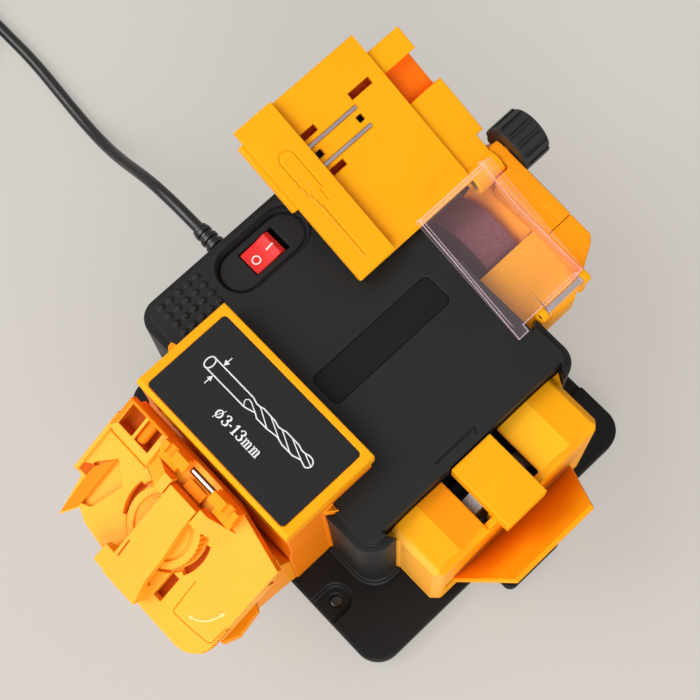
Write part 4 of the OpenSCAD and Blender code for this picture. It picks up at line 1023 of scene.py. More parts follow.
@dataclass
class Switch(SubAssembly):
    """Rocker switch in its recess."""

    on_place: Pair = (-70.6, 6.6)
    on_length: float = 4.2
    on_steps: int = 14
    on_width: float = 0.75
    off_place: Pair = (-70.3, -1.6)
    off_radius: float = 1.85
    off_width: float = 0.65
    mark_rise: float = 0.05

    # The marks are dropped onto the rocker from this height.
    drop_from: float = 200.0

    def build(self) -> None:
        """Makes the switch frame and its rocker with its two marks."""
        self.skin("switch_body", SWITCH_BLACK, Body.MACHINE, edge=0.3)
        rocker = self.skin("switch_rocker", ROCKER_RED, Body.ROCKER, edge=0.5, segments=3)
        x, y = self.on_place
        line = [(x, y + self.on_length * (i / self.on_steps - 0.5)) for i in range(self.on_steps + 1)]
        bar = even_stroke("on_mark", line, self.on_width / 2)
        ring = even_stroke("off_mark", oval(self.off_place, (self.off_radius,) * 2), self.off_width / 2, closed=True)
        for mark in (bar, ring):
            self.keep(self.drape(mark, rocker), WHITE_MARK, Body.ROCKER)

    def drape(self, mark: Object, rocker: Object) -> Object:
        """Lays a mark on the rocker's sloped top.

        Args:
            mark: The mark, lying about Z = 0.
            rocker: The rocker that carries it.

        Returns:
            The mark, in its place.
        """
        for vertex in mark.data.vertices:
            above = Vector((vertex.co.x, vertex.co.y, self.drop_from * MM))
            hit, place, _, _ = rocker.ray_cast(above, Vector((0.0, 0.0, -1.0)))
            stand = self.mark_rise * MM if vertex.co.z > 0.0 else 0.0
            vertex.co.z = (place.z if hit else 0.0) + stand
        return mark


@dataclass
class Lead(SubAssembly):
    """Mains cord from its strain relief to its coil and plug."""

    diameter: float = 6.0
    facets: int = 4
    leave: Triple = (-118.1, -1.2, 40.0)
    inset: float = 5.5
    route: tuple[Triple, ...] = (
        (-132, -1.2, 40), (-146, -1.2, 38), (-158, -1.1, 33), (-169, -1, 26), (-180, -0.8, 18.5), (-191, -0.4, 12),
        (-202, 0.2, 7.2), (-214, 1, 4.5), (-227, 2, 3.5), (-241, 3.2, 3.5), (-255, 4.4, 3.5), (-269, 5, 3.5),
        (-283, 5, 3.5), (-297, 5, 3.5), (-310, 5, 3.5), (-322, 5, 3.5),
    )

    # The free run is drawn with so many steps between two points of its route, and bends over this part of the way.
    bends: int = 4
    ease: float = 6.0

    # The coil goes in on the table, climbs a layer in part of a turn, goes out again and ends in a straight tail.
    turns: int = 7
    steps: int = 24
    pitch: float = 6.9
    inner_radius: float = 24.0
    lift: float = 7.0
    climb: float = 0.5
    table: float = 3.5
    tail_steps: int = 4
    tail_step: Triple = (-8.0, 0.0, -0.5)

    def build(self) -> None:
        """Makes the strain relief, the cord, its tie and its plug."""
        self.skin("strain_relief", CORD_BLACK, Body.MACHINE, edge=0.35)
        tie = self.skin("cord_tie", TIE_BLACK, Body.MACHINE, edge=0.3)
        plug = self.skin("plug_body", CORD_BLACK, Body.MACHINE, edge=2.0, segments=3)
        pins = self.skin("plug_pins", BRASS, Body.MACHINE, edge=0.6)
        points = self.line()
        cord = wire("mains_cord", points, self.diameter * MM / 2, self.facets)
        self.keep(cord, CORD_BLACK, Body.MACHINE, "cord_free", "cord_coil")

    def line(self) -> list[Vector]:
        """Gives the cord's whole centreline, from inside the strain relief to the plug.

        Returns:
            Its points in metres.
        """
        leave = Vector(self.leave)
        root = leave + Vector((self.inset, 0.0, 0.0))
        coil = [self.coil_point(i / self.steps) for i in range(self.turns * self.steps + 1)]
        free = self.eased([root, leave, *map(Vector, self.route), coil[0]])
        tail = [coil[-1] + Vector(self.tail_step) * i for i in range(1, self.tail_steps + 1)]
        return [p * MM for p in (root, *free, *coil, *tail)]

    def eased(self, path: Sequence[Vector]) -> list[Vector]:
        """Draws a line through points without kinks.

        Args:
            path: The points, the first and the last of which only give a direction.

        Returns:
            The line's points, from the second given point to the last but one.
        """
        line = [path[1]]
        for before, start, end, after in zip(path, path[1:], path[2:], path[3:]):
            pull, push = start + (end - before) / self.ease, end - (after - start) / self.ease
            line += interpolate_bezier(start, pull, push, end, self.bends + 1)[1:]
        return line

    def coil_radius(self, turn: float) -> float:
        """Gives the coil's radius after a number of turns."""
        return self.inner_radius + self.pitch * abs(turn - self.turns / 2)

    def coil_point(self, turn: float) -> Vector:
        """Gives a point of the coil.

        Args:
            turn: How many turns come before it.

        Returns:
            The point in millimetres.
        """
        start = Vector(self.route[-1])
        radius, angle = self.coil_radius(turn), math.tau * turn
        rise = min(1.0, max(0.0, (turn - self.turns / 2 + self.climb / 2) / self.climb))
        return Vector((
            start.x - self.diameter - radius * math.sin(angle),
            start.y - self.coil_radius(0) + radius * math.cos(angle),
            self.table + self.lift * rise,
        ))


@dataclass
class DrillLabel(SubAssembly):
    """Printed label of the drill station: a drill, its span marks and its range of sizes.

    Points are in X and Y from the label's middle, and a glyph's points have half their stroke's width as well.
    """

    middle: Triple = (-13.6, -51.85, 108.0)
    ink: float = 0.06
    line: float = 0.32
    flute_line: float = 0.25
    drill: tuple[Outline, ...] = (
        ((-30.6, 5.2), (-6.4, 5.2)),
        ((-30.6, -0.4), (-6.7, -0.3)),
        (
            (-6.36, 5.14), (-3.86, 4.43), (-1.71, 4.57), (-0.29, 5.14), (6.86, 4.93), (9.71, 4.21), (11.86, 4.57),
            (13.29, 5.14), (21.14, 5.14), (23.64, 4.43), (25.79, 4.57), (27.21, 5.14), (29.3, 5.1), (30.7, 4.3),
            (31.36, 2.79), (30.9, 1.4), (30.07, 0.64), (29.2, 0.5), (28.29, 0.86), (26.14, 1.36), (22.57, 0.14),
            (16.14, 0.14), (12.57, 1.0), (6.86, 0.14), (0.79, 0.14), (-1.36, 1.36), (-4.93, 0.14), (-6.71, -0.3),
        ),
    )
    flutes: tuple[Outline, ...] = (
        ((-6.71, -0.2), (-8.14, 1.4), (-8.3, 2.3), (-7.43, 3.29), (-6.0, 3.29), (-3.14, 2.07), (-1.36, 1.36)),
        ((-1.71, 4.57), (6.86, 0.29)), ((4.36, 4.93), (13.29, 1.0)), ((11.86, 4.43), (20.79, 0.29)),
        ((17.57, 4.93), (27.21, 1.14)), ((25.79, 4.43), (31.14, 2.43)),
    )
    end_place: Pair = (-30.6, 2.4)
    end_size: Pair = (1.95, 2.9)
    arrow_x: float = -25.5
    arrows: tuple[Triple, ...] = ((10.3, 7.8, 5.5), (-5.5, -3.0, -0.7))
    arrow_halves: Pair = (1.4, 0.02)
    sign_place: Pair = (-11.3, -9.7)
    sign_size: Pair = (1.35, 1.75)
    sign_halves: Pair = (0.22, 0.24)
    sign_slash: Glyph = ((-10.0, -6.8, 0.16), (-12.6, -12.7, 0.16))
    threes: Pair = (-6.9, 1.85)
    three: tuple[Glyph, ...] = (
        (
            (-1.3, -8.3, 0.45), (-1.0, -7.5, 0.28), (-0.2, -7.05, 0.22), (0.6, -7.3, 0.4), (0.95, -8.1, 0.52),
            (0.6, -8.9, 0.4), (-0.3, -9.25, 0.18),
        ),
        (
            (-0.3, -9.25, 0.18), (0.7, -9.6, 0.4), (1.1, -10.5, 0.58), (0.8, -11.4, 0.46), (-0.1, -11.8, 0.24),
            (-1.0, -11.5, 0.3), (-1.35, -10.7, 0.48),
        ),
    )
    dash: Glyph = ((-4.9, -9.75, 0.36), (-3.7, -9.75, 0.36))
    one: tuple[Glyph, ...] = (
        ((-1.55, -7.0, 0.5), (-1.55, -11.8, 0.5)),
        ((-2.7, -8.1, 0.16), (-1.5, -7.2, 0.34)),
        ((-2.6, -11.75, 0.2), (-0.5, -11.75, 0.2)),
    )
    ems: Pair = (3.8, 8.6)
    em_stems: Triple = (0.75, 2.2, 3.65)
    em_stem: tuple[Glyph, ...] = (
        ((0.0, -8.9, 0.42), (0.0, -11.8, 0.42)),
        ((-0.68, -11.78, 0.17), (0.68, -11.78, 0.17)),
    )
    em_flag: Glyph = ((0.0, -8.65, 0.17), (0.8, -8.6, 0.25))
    em_arches: Pair = (0.9, 2.35)
    em_arch: Glyph = ((0.0, -9.2, 0.14), (0.5, -8.65, 0.2), (1.0, -8.6, 0.28), (1.3, -9.1, 0.4))

    def build(self) -> None:
        """Prints the drill, its arrows and its sizes."""
        marks = [even_stroke("ink", path, self.line) for path in self.drill]
        marks += [even_stroke("ink", path, self.flute_line) for path in self.flutes]
        marks.append(even_stroke("ink", oval(self.end_place, self.end_size), self.line, closed=True))
        for heights in self.arrows:
            tail, neck, tip = ((self.arrow_x, y) for y in heights)
            marks.append(even_stroke("ink", (tail, neck), self.flute_line))
            marks.append(stroke("ink", (neck, tip), self.arrow_halves))
        for along, glyph in self.glyphs():
            marks.append(stroke("ink", [(along + x, y) for x, y, _ in glyph], [half for _, _, half in glyph]))
        place = shift(*self.middle)
        drawing = join("label_print", [flattened(mark, self.ink, place) for mark in marks])
        self.keep(drawing, WHITE_INK, Body.DRILL_STATION)

    def sign_ring(self) -> Glyph:
        """Gives the ring of the diameter sign, which is thicker at its sides.

        Returns:
            Its glyph.
        """
        thin, swell = self.sign_halves
        ring = zip(oval(self.sign_place, self.sign_size), oval((0.0, 0.0), (1.0, 1.0)), strict=True)
        glyph = [(x, y, thin + swell * abs(across)) for (x, y), (across, _) in ring]
        return (*glyph, glyph[0])

    def glyphs(self) -> list[tuple[float, Glyph]]:
        """Gives the strokes of the size range, with thick stems and thin joins.

        Returns:
            How far along X each stroke is moved, and its glyph.
        """
        glyphs = [(0.0, glyph) for glyph in (self.sign_ring(), self.sign_slash)]
        glyphs += [(x, glyph) for x in self.threes for glyph in self.three]
        glyphs += [(0.0, glyph) for glyph in (self.dash, *self.one)]
        for x in self.ems:
            glyphs += [(x + stem, glyph) for stem in self.em_stems for glyph in self.em_stem]
            glyphs += [(x, self.em_flag)]
            glyphs += [(x + start, self.em_arch) for start in self.em_arches]
        return glyphs


@dataclass
class DrillStation(SubAssembly):
    """Tower of the drill station, and the drill holder that swivels on it."""

    # Tab at the left of the label plate, ledge at the right of the swivel bracket, and the turn of the bracket's side
    # that is painted in half shade, as the ledge is.
    tab: Outline = (
        (-62.2, -58.8), (-59.7, -58.8), (-59.7, -53.7), (-63.4, -53.7), (-65.2, -54.5), (-64.8, -56.6),
    )
    tab_span: Pair = (95.2, 99.0)
    lip: Outline = ((32.0, -124.0), (38.4, -124.0), (41.2, -116.4), (38.8, -103.2), (32.0, -100.0))
    lip_span: Pair = (54.0, 61.0)
    bracket_side: float = 0.3

    # Faces of the holder that are painted in shade: those turned away to the label, past a height on the plate, those
    # of its upper left corners, and those in its two pockets, in a deeper painted shade. The jaws are painted in shade,
    # and their faces that look up as the plate does are painted lighter, in half shade.
    away: float = 0.45
    away_from: float = -22.0
    away_corners: Outline = ((-20.0, -0.6), (-45.0, -9.0))
    plate_up: float = 0.8
    pockets: tuple[Triple, Triple] = ((-44.6, -11.6, -math.inf), (-25.9, -0.4, 3.4))

    # Swing arrow with its two heads, raised and painted pale as a highlight, and the raised line round it, painted in
    # shade.
    arrow_line: Outline = (
        (34.4, -50.7), (36.2, -49.8), (38.0, -48.6), (39.7, -46.8), (41.0, -44.8), (42.0, -42.4), (42.7, -40.0),
    )
    arrow_half: float = 0.55
    arrow_rise: float = 0.35
    head_length: float = 2.6
    head_halves: Pair = (1.4, 0.05)
    panel: Outline = (
        (25.0, -37.5), (25.4, -46.0), (25.9, -54.6), (26.6, -55.6), (28.0, -55.7), (37.0, -54.7), (46.0, -53.3),
        (47.2, -52.6), (47.6, -51.2), (48.0, -42.0),
    )
    panel_half: float = 0.3
    panel_rise: float = 0.18

    # Clamp dial. Each step of its face is an inset and a rise.
    dial_place: Pair = (0.0, -30.0)
    dial_span: Pair = (-1.7, 3.3)
    dial_radius: float = 17.9
    dial_ribs: int = 48
    dial_rib: float = 0.6
    dial_hub: float = 0.1
    dial_steps: tuple[Pair, ...] = ((3.4, 0.0), (0.3, -1.0), (1.1, 0.0), (0.3, 1.0))

    # Slots of the plate: two crescents round the dial, given by their angles, and a straight one.
    crescents: tuple[Pair, ...] = ((-32.0, 26.0), (161.0, 216.0))
    crescent_radii: Pair = (23.0, 17.0)
    crescent_steps: int = 12
    crescent_span: Pair = (-4.7, -4.05)
    slot_low: Triple = (13.6, -58.0, -6.6)
    slot_high: Triple = (20.0, -42.0, -4.05)
    slot_wall: float = 0.8
    slot_depth: float = 1.8

    # Grip teeth along the plate's right edge and round its lower corner.
    teeth: int = 11
    tooth_start: float = -44.0
    tooth_pitch: float = 1.5
    tooth_low: Triple = (-1.5, -0.4, -4.4)
    tooth_high: Triple = (0.75, 0.4, -0.1)
    edge_x: float = 48.3
    corner_place: Pair = (35.5, -53.0)
    corner_radius: float = 12.8

    # Smaller forms, all painted in shade: the inlays are sheets of painted shade on the notch by the spike, a strip of
    # painted shadow by the bar's left edge, and the bar's cap; the pocket's saddle is in painted shade too. An inlay
    # has a name, an outline, a lower and an upper height, and a finish.
    saddle: Outline = ((-32.6, -11.3), (-32.6, -0.8))
    saddle_radius: float = 2.6
    saddle_rise: float = 0.2
    inlays: tuple[tuple[str, Outline, float, float, Finish], ...] = (
        (
            "notch_side_painted_shade",
            ((-42.0, -36.6), (-36.0, -25.9), (-36.0, -55.0), (-36.4, -56.2), (-41.0, -64.2), (-42.1, -45.0)),
            -0.6, 0.12, ORANGE_SHADE,
        ),
        (
            "notch_end_painted_shade",
            ((-46.6, -38.6), (-42.2, -35.3), (-42.0, -36.6), (-42.1, -42.4), (-46.6, -42.4)),
            -0.6, 0.12, ORANGE_PAINTED_DEEP_SHADE,
        ),
        ("bar_edge_painted_shadow", ((-6.6, -42.6), (-5.6, -42.6), (-5.2, -52.0), (-6.2, -52.0)), 8.6, 8.94, ORANGE_PAINTED_DEEP_SHADE),
        ("bar_cap", ((-5.2, -10.6), (5.2, -10.6), (5.2, -5.4), (-5.2, -5.4)), 1.5, 2.3, ORANGE_SHADE),
    )

    def build(self) -> None:
        """Makes the tower, the holder, its clamp and its jaws."""
        tower = self.skin("drill_tower", ORANGE, Body.DRILL_STATION, edge=0.5)
        # The tower's faces that look to +X and to -Y are painted in shade.
        self.tone(tower, ORANGE_SHADE, lambda face: face.normal.x > SIDEWAYS or face.normal.y < -SIDEWAYS)
        self.skin("label_plate", ORANGE, Body.DRILL_STATION, edge=0.5)
        self.skin("label_face", LABEL_BLACK, Body.DRILL_STATION, edge=0.15)
        self.keep(soften(slab("tower_tab", self.tab, *self.tab_span), edge=0.3), ORANGE, Body.DRILL_STATION)
        # The bracket's faces that look to +X, and its ledge, are painted in half shade.
        bracket = self.skin("swivel_bracket", ORANGE, Body.DRILL_STATION, edge=0.5)
        self.tone(bracket, ORANGE_PAINTED_HALF_SHADE, lambda face: face.normal.x > self.bracket_side)
        self.keep(soften(slab("bracket_lip", self.lip, *self.lip_span), edge=0.5), ORANGE_PAINTED_HALF_SHADE, Body.DRILL_STATION)
        # The holder's plate and bar, its dial and its grip teeth are in the painted lit tone.
        plate = self.skin("drill_holder", ORANGE_LIT, Body.HOLDER, edge=0.35)
        bar = self.skin("clamp_bar", ORANGE_LIT, Body.HOLDER, edge=0.4)
        self.skin("drill_stop", STEEL, Body.HOLDER, edge=0.15)
        self.skin("bar_screws", STEEL, Body.HOLDER, edge=0.25)
        self.knurl_dial()
        # The jaws are painted in shade, and their faces that look up as the plate does in a lighter half shade.
        for jaw, body in (("jaw_left", Body.LEFT_JAW), ("jaw_right", Body.RIGHT_JAW)):
            self.tone(self.skin(jaw, ORANGE_SHADE, body, edge=0.3), ORANGE_PAINTED_HALF_SHADE, self.faces_as_plate)
        # Painted shade on the plate's and bar's faces turned to the label and at the upper left corners, and deep
        # painted shade in the pockets.
        for piece in (plate, bar):
            self.tone(piece, ORANGE_SHADE, self.turned_away)
        self.tone(plate, ORANGE_PAINTED_DEEP_SHADE, lambda face: inside(middle_in(HOLDER_FRAME, face), *self.pockets))
        self.fit_out()
        self.mark_swing()
        self.cut_grip()
        self.back_slots()

    def faces_as_plate(self, face: MeshPolygon) -> bool:
        """Says whether a face looks the same way as the holder's plate."""
        return face.normal.dot(HOLDER_UP) > self.plate_up

    def turned_away(self, face: MeshPolygon) -> bool:
        """Says whether a face of the plate's upper end is turned to the label.

        Args:
            face: The face.

        Returns:
            Whether it is.
        """
        x, y, _ = middle_in(HOLDER_FRAME, face)
        turned = face.normal.y > self.away and y > self.away_from
        return turned or any(x < right and y > low for right, low in self.away_corners)

    def set_on_holder(self, obj: Object, finish: Finish) -> None:
        """Keeps a piece that is drawn in the holder's frame."""
        self.keep(set_in_place(obj, HOLDER_FRAME), finish, Body.HOLDER)

    def fit_out(self) -> None:
        """Adds the smaller forms in painted shade: the spike's notch, a painted shadow by the bar, its cap, the saddle.
        """
        for name, outline, low, high, finish in self.inlays:
            self.set_on_holder(soften(slab(name, outline, low, high), edge=0.12), finish)
        saddle = even_stroke("pocket_saddle", self.saddle, self.saddle_radius)
        self.keep(set_in_place(saddle, HOLDER_FRAME @ shift(0.0, 0.0, self.saddle_rise)), ORANGE_SHADE, Body.HOLDER)

    def knurl_dial(self) -> None:
        """Turns the clamp dial: a drum with a knurled rim and a ring groove."""
        x, y = self.dial_place
        low, high = self.dial_span
        dial = drum("knurled_dial", (x, y, low), self.dial_radius, high - low, 2 * self.dial_ribs)
        middle = metres((x, y, 0.0))
        open_faces(dial, lambda face: abs(face.normal.z) < UPRIGHT and face.index % 2 == 0)
        bpy.ops.mesh.extrude_region_shrink_fatten(TRANSFORM_OT_shrink_fatten={"value": -self.dial_rib * MM})
        close_mesh()
        for inset, rise in self.dial_steps:
            open_faces(dial, lambda face: looks_up(face) and (face.center - middle).xy.length < self.dial_hub * MM)
            bpy.ops.mesh.inset(thickness=inset * MM, depth=0.0)
            if rise:
                bpy.ops.transform.translate(value=(0.0, 0.0, rise * MM))
            close_mesh()
        recalculate(dial)
        self.keep(set_in_place(soften(dial, edge=0.15), HOLDER_FRAME), ORANGE_LIT, Body.DIAL, "clamp_dial")

    def mark_swing(self) -> None:
        """Raises the swing arrow, painted as a highlight, and the line round it, painted in shade, on the holder's
        plate.
        """
        line = self.arrow_line
        parts = [even_stroke("arrow", line, self.arrow_half)]
        for end, near in ((line[0], line[1]), (line[-1], line[-2])):
            along = (Vector(end) - Vector(near)).normalized() * self.head_length
            parts.append(stroke("arrow", (end, tuple(Vector(end) + along)), self.head_halves))
        arrow = join("swing_arrow", [flattened(part, self.arrow_rise, HOLDER_FRAME) for part in parts])
        self.keep(arrow, ORANGE_PAINTED_HIGHLIGHT, Body.HOLDER)
        rim = even_stroke("swing_panel", self.panel, self.panel_half)
        self.keep(flattened(rim, self.panel_rise, HOLDER_FRAME), ORANGE_SHADE, Body.HOLDER)

    def cut_grip(self) -> None:
        """Sets a row of grip teeth along the holder's lower right edge and round its corner."""
        right, turn = self.corner_place
        teeth = []
        for number in range(self.teeth):
            y = self.tooth_start - number * self.tooth_pitch
            x = self.edge_x if y > turn else right + math.sqrt(max(0.0, self.corner_radius**2 - (y - turn) ** 2))
            corners = ((x + a, y + b, c) for a, b, c in (self.tooth_low, self.tooth_high))
            teeth.append(soften(block("tooth", *corners), edge=0.12))
        self.set_on_holder(join("grip_teeth", teeth), ORANGE_LIT)

    def back_slots(self) -> None:
        """Closes the underside of the plate's slots with backs in deep painted shade, so that they look into a shaded
        hollow.
        """
        outer, inner = self.crescent_radii
        for number, (start, end) in enumerate(self.crescents):
            ring = arc(self.dial_place, outer, start, end, self.crescent_steps)
            ring += arc(self.dial_place, inner, end, start, self.crescent_steps)
            self.set_on_holder(soften(slab(f"slot_back_{number}", ring, *self.crescent_span), edge=0.1), ORANGE_PAINTED_DEEP_SHADE)
        hollow = cup("slot_cup", self.slot_low, self.slot_high, self.slot_wall, self.slot_depth)
        self.set_on_holder(soften(hollow, edge=0.15), ORANGE_PAINTED_DEEP_SHADE)


@dataclass
class KnifeStation(SubAssembly):
    """Knife and scissor station with its guide and spark shield."""

    slope: float = 0.05

    def build(self) -> None:
        """Makes the housing, whose blocks slope down to the slits, the guide and the shield."""
        housing = self.skin("knife_housing", ORANGE, Body.KNIFE_STATION, edge=0.6, fold=4.0)
        # Painted light and shade on the blocks' top facets: half shade on the front block's facets that slope down to
        # +Y, painted light on the rear block's facets that slope down to -Y, and a painted sheen on faces that look to
        # -Y.
        self.tone(housing, ORANGE_PAINTED_HALF_SHADE, lambda face: self.slopes(face) > 0 and face.center.y < 0.0)
        self.tone(housing, ORANGE_PAINTED_LIGHT, lambda face: self.slopes(face) < 0 and face.center.y > 0.0)
        self.tone(housing, ORANGE_PAINTED_SHEEN, lambda face: face.normal.y < -SIDEWAYS)
        self.skin("knife_guide", ORANGE, Body.KNIFE_STATION, edge=0.5)
        # The spark shield is in a deeper tone, painted shade.
        self.skin("spark_shield", ORANGE_PAINTED_SHIELD_SHADE, Body.KNIFE_STATION, edge=0.4)

    def slopes(self, face: MeshPolygon) -> int:
        """Says which way along Y a top face slopes down.

        Args:
            face: The face.

        Returns:
            1 for +Y, -1 for -Y, and 0 for a face that is level or no top face.
        """
        if not looks_up(face) or abs(face.normal.y) <= self.slope:
            return 0
        return 1 if face.normal.y > 0.0 else -1


@dataclass
class ChiselStation(SubAssembly):
    """Chisel station with its tilting tray, fence and clear cover."""

    # Where the housing's outer side begins, past which its faces are painted in half shade, and the hollow between the
    # tray's arms in the tray's own frame, which is painted in recess shade.
    outer_side: float = 97.5
    hollow: tuple[Triple, Triple] = ((-63.0, 93.0, -math.inf), (-36.0, math.inf, 2.6))

    # Rounding of the clear cover and the material slot of its rounded edges.
    glaze_edge: float = 0.3
    glaze_slot: int = 1

    # Lines of the drawing on the fence.
    mark_half: float = 0.3
    mark_height: float = 10.5
    mark_rise: float = 0.12
    marks: tuple[Outline, ...] = (
        ((-51.5, 26.4), (-51.5, 33.8)), ((-47.5, 26.6), (-47.5, 33.6)), ((-47.5, 28.2), (-41.5, 28.5)),
        ((-47.5, 31.8), (-41.5, 31.5)), ((-41.0, 29.6), (-8.0, 29.6)),
    )

    # Sloped wall beside the wheel, in Y and Z, and its span along X.
    fairing: Outline = ((90.5, 69.5), (98.4, 78.2), (98.4, 79.7), (90.5, 71.0))
    fairing_span: Pair = (-33.6, 1.3)

    # Cups under the tray's slots, coloured as painted shade: their corners, widths and lengths, and finishes.
    cup_span: Pair = (-2.0, 2.3)
    cup_depth: float = 3.6
    cup_wall: float = 0.5
    cups: tuple[tuple[float, float, float, float, Finish], ...] = (
        (-65.8, 71.5, 4.8, 13.8, ORANGE_PAINTED_DEEP_SHADE), (-65.8, 43.4, 4.6, 9.6, ORANGE_PAINTED_DEEP_SHADE),
        (-46.5, 43.4, 4.6, 9.6, ORANGE_PAINTED_DEEP_SHADE), (-55.95, 43.4, 4.6, 4.8, DARK_MOULDING_AND_SHADE), (-55.95, 67.4, 4.6, 4.8, DARK_MOULDING_AND_SHADE),
    )

    def build(self) -> None:
        """Makes the housing, the cover, the tray and its parts."""
        housing = self.skin("chisel_housing", ORANGE, Body.CHISEL_STATION, edge=0.5)
        # The housing's faces past its outer side are painted in half shade.
        self.tone(housing, ORANGE_PAINTED_HALF_SHADE, lambda face: face.center.y > self.outer_side * MM)
        self.slope_mouth()
        self.skin("hinge_pin", STEEL, Body.CHISEL_STATION, edge=0.3)
        self.glaze_cover()
        tray = self.skin("tool_tray", ORANGE, Body.TRAY, edge=0.4)
        # The hollow between the tray's arms is painted in recess shade.
        self.tone(tray, ORANGE_PAINTED_RECESS_SHADE, lambda face: inside(middle_in(TRAY_FRAME, face), *self.hollow))
        self.fit_cups()
        self.skin("guide_rails", RAIL_STEEL, Body.TRAY, edge=0.2)
        self.skin("pivot_bolt", STEEL, Body.TRAY, edge=0.4)
        self.skin("tool_fence", ORANGE, Body.FENCE, edge=0.25)
        self.mark_fence()
        self.skin("tilt_knob", BLACK_KNOB, Body.KNOB, edge=0.4)

    def slope_mouth(self) -> None:
        """Leads the mouth's far wall down to the wheel with a sloped fairing, drawn in Y and Z and run along X."""
        fairing = slab("wheel_fairing", self.fairing, *self.fairing_span)
        stand = Matrix(((0, 0, 1, 0), (1, 0, 0, 0), (0, 1, 0, 0), (0, 0, 0, 1)))
        # The fairing is painted in half shade.
        self.keep(soften(set_in_place(fairing, stand), edge=0.2), ORANGE_PAINTED_HALF_SHADE, Body.CHISEL_STATION)

    def glaze_cover(self) -> None:
        """Makes the clear cover, whose rounded edges gather the light."""
        cover = cast("clear_cover")
        cover.data.materials.clear()
        for finish in (CLEAR, CLEAR_EDGE):
            cover.data.materials.append(finish.material())
        soften(cover, self.glaze_edge, rim_slot=self.glaze_slot, source=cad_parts["clear_cover"])
        edges = {face.index for face in cover.data.polygons if face.material_index == self.glaze_slot}
        self.keep(cover, CLEAR, Body.COVER, "clear_cover")
        self.tone(cover, CLEAR_EDGE, lambda face: face.index in edges)

    def fit_cups(self) -> None:
        """Fits an open cup under each slot of the tray."""
        low, high = self.cup_span
        for number, (x, y, width, length, finish) in enumerate(self.cups):
            corners = (x, y, low), (x + width, y + length, high)
            hollow = soften(cup(f"tray_cup_{number}", *corners, self.cup_wall, self.cup_depth), edge=0.15)
            self.keep(set_in_place(hollow, TRAY_FRAME), finish, Body.TRAY)

    def mark_fence(self) -> None:
        """Raises the lines of the chisel drawn on the fence."""
        lines = [even_stroke("line", line, self.mark_half) for line in self.marks]
        place = TRAY_FRAME @ shift(0.0, 0.0, self.mark_height)
        drawing = join("fence_marks", [flattened(line, self.mark_rise, place) for line in lines])
        # The chisel's raised lines are in the painted lit tone, lighter than the fence as painted highlights.
        self.keep(drawing, ORANGE_LIT, Body.FENCE)


@dataclass
class Drive(SubAssembly):
    """Motor, shafts, gears and wheels inside the body."""

    def build(self) -> None:
        """Gives the inner pieces their finishes."""
        self.coat(ZINC, "motor_can", "motor_cap")
        self.coat(FERRITE, "motor_magnets")
        self.coat(DARK_MOULDING_AND_SHADE, "motor_cradle", "bearing_bracket")
        self.coat(BRONZE, "shaft_bushes")
        self.coat(STEEL, "motor_shaft", "cross_shaft", "knife_shaft", "wheel_nuts", "knife_nut")
        self.coat(COPPER, "rotor_core")
        self.coat(GEAR, "motor_gear", "cross_gear", "knife_gear")
        self.coat(FAN, "cooling_fan")
        self.coat(DRILL_GRIT, "drill_wheel")
        self.coat(DIAMOND, "knife_wheel")
        # The chisel wheel's dark colour paints the shade of its chamber.
        self.coat(STONE_PAINTED_SHADE, "chisel_wheel")


# ---------------------------------------------------------------------------------------------------------------------
# Studio
# ---------------------------------------------------------------------------------------------------------------------


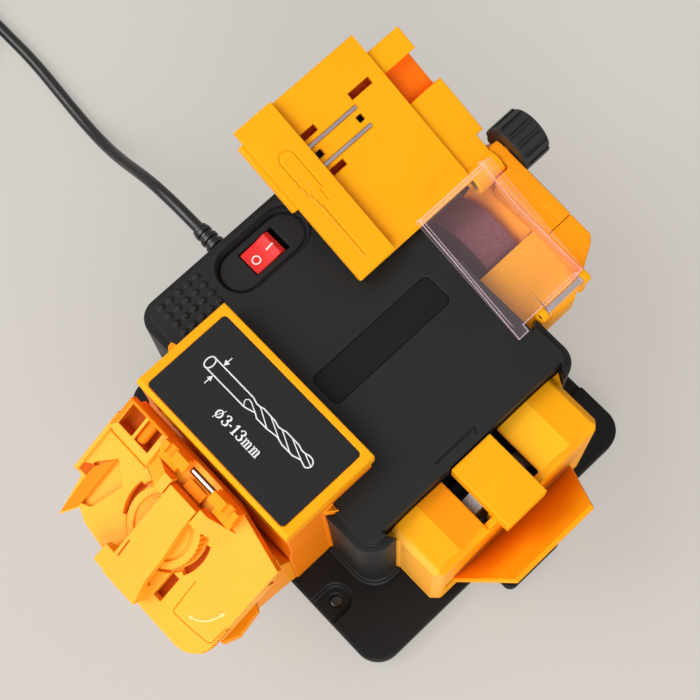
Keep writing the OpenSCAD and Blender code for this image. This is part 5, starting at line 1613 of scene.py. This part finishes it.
@dataclass
class Studio:
    """Camera, floor, lamps and world of the picture. The lamps' places and sizes and the floor's size are in metres."""

    eye: Triple = (138.5, -116.5, 711.5)
    right: Triple = (0.6867, 0.7263, -0.0303)
    up: Triple = (-0.6892, 0.6637, 0.2908)
    focal_pixels: float = 1510.0
    picture: float = 700.0
    sensor: float = 36.0
    clip: Pair = (0.01, 20.0)
    floor_size: float = 12.0
    paper: Colour = (0.62, 0.589, 0.548)
    paper_cloud: float = 400.0
    paper_mottle: float = 0.01
    paper_seen: Colour = (0.655, 0.622, 0.583)
    paper_glow: float = 0.6
    footprint: tuple[Pair, Pair] = ((-0.5, 0.0), (80.0, 76.0))
    footprint_fade: float = 0.98
    sky: Colour = (1.0, 0.985, 0.96)
    ambient: float = 0.38
    aim: Triple = (0.0, 0.0, 0.05)
    lamps: tuple[tuple[str, Triple, float, float], ...] = (
        ("key_lamp", (-1.9, -1.9, 3.1), 2.5, 82.0),
        ("fill_lamp", (2.4, -1.75, 1.9), 2.5, 88.0),
        ("low_lamp", (-0.75, -2.5, 2.05), 2.0, 24.0),
    )

    def build(self) -> None:
        """Sets up the camera, the floor, the lamps and the world."""
        self.place_camera()
        self.lay_floor()
        for name, place, size, power in self.lamps:
            self.hang_lamp(name, Vector(place), size, power)
        self.light_world()
        bpy.context.scene.view_settings.view_transform = "Standard"

    def place_camera(self) -> None:
        """Places the camera at the photograph's viewing angle."""
        data = bpy.data.cameras.new("camera")
        data.sensor_width = self.sensor
        data.lens = self.focal_pixels / self.picture * self.sensor
        data.clip_start, data.clip_end = self.clip
        camera = bpy.data.objects.new("camera", data)
        bpy.context.scene.collection.objects.link(camera)
        right, up = Vector(self.right).normalized(), Vector(self.up).normalized()
        turn = Matrix((right, up, right.cross(up))).transposed().to_4x4()
        camera.matrix_world = Matrix.Translation(metres(self.eye)) @ turn
        bpy.context.scene.camera = camera

    def lay_floor(self) -> None:
        """Lays the pale floor."""
        put_down()
        bpy.ops.mesh.primitive_plane_add(size=self.floor_size, location=(0.0, 0.0, 0.0))
        floor = bpy.context.object
        floor.name = "floor"
        bench = NodeBench("floor_paper")
        cloud = bench.noise(self.paper_cloud, detail=2.0)
        dim = shaded(self.paper, -self.paper_mottle)
        bench.set(
            Base_Color=bench.ramp(cloud, ((NOISE_LOW, dim), (NOISE_HIGH, self.paper))),
            Roughness=0.9,
            Specular_IOR_Level=0.1,
        )
        self.even_out(bench)
        floor.data.materials.append(bench.material)

    def even_out(self, bench: NodeBench) -> None:
        """Lets the floor show part of its own colour where it is seen or mirrored, so that its light is even.

        Args:
            bench: The floor's material.
        """
        glow = bench.add("ShaderNodeEmission", Color=(*self.paper_seen, 1.0), Strength=1.0)
        share = combined(bench.tree, "MULTIPLY", seen_rays(bench.tree), self.beside_base(bench))
        mix_shaders(bench.tree, share, bench.shader, glow, "Material Output")

    def beside_base(self, bench: NodeBench) -> NodeSocket:
        """Gives the floor's glow beside the base plate, and none in the shade under it.

        Args:
            bench: The floor's material.

        Returns:
            The glow's share.
        """
        (x, y), (half_x, half_y) = self.footprint
        mapped = bench.add(
            "ShaderNodeMapping", Vector=bench.place, Location=(-x / half_x, -y / half_y, 0.0),
            Scale=(1.0 / (half_x * MM), 1.0 / (half_y * MM), 0.0),
        )
        size = bench.add("ShaderNodeVectorMath", Vector=mapped.outputs["Vector"])
        size.operation = "ABSOLUTE"
        parts = bench.add("ShaderNodeSeparateXYZ", Vector=size.outputs["Vector"]).outputs
        far = combined(bench.tree, "MAXIMUM", parts["X"], parts["Y"])
        span = {"From_Min": self.footprint_fade, "From_Max": 1.0, "To_Min": 0.0, "To_Max": self.paper_glow}
        return bench.add("ShaderNodeMapRange", Value=far, **span).outputs["Result"]

    def hang_lamp(self, name: str, place: Vector, size: float, power: float) -> None:
        """Hangs a soft square lamp that looks at the sharpener.

        Args:
            name: The lamp's name.
            place: Where it hangs.
            size: Its width.
            power: Its power in watts.
        """
        data = bpy.data.lights.new(name, "AREA")
        data.shape, data.size, data.energy = "SQUARE", size, power
        lamp = bpy.data.objects.new(name, data)
        bpy.context.scene.collection.objects.link(lamp)
        lamp.location = place
        lamp.rotation_euler = (Vector(self.aim) - place).to_track_quat("-Z", "Y").to_euler()

    def light_world(self) -> None:
        """Lights the scene from all round, with the paper's colour where it is seen or mirrored."""
        world = bpy.data.worlds.new("studio")
        bpy.context.scene.world = world
        world.use_nodes = True
        tree = world.node_tree
        soft, seen = tree.nodes["Background"], tree.nodes.new("ShaderNodeBackground")
        for light, colour, strength in ((soft, self.sky, self.ambient), (seen, self.paper, 1.0)):
            light.inputs["Color"].default_value = (*colour, 1.0)
            light.inputs["Strength"].default_value = strength
        mix_shaders(tree, seen_rays(tree), soft, seen, "World Output")


def main() -> None:
    """Builds the studio and every sub-assembly in order."""
    logging.basicConfig(level=logging.INFO, format="%(message)s")
    Studio().build()
    for group in (Lead(), Case(), Switch(), DrillStation(), DrillLabel(), KnifeStation(), ChiselStation(), Drive()):
        group.build()


if __name__ == "__main__":
    main()
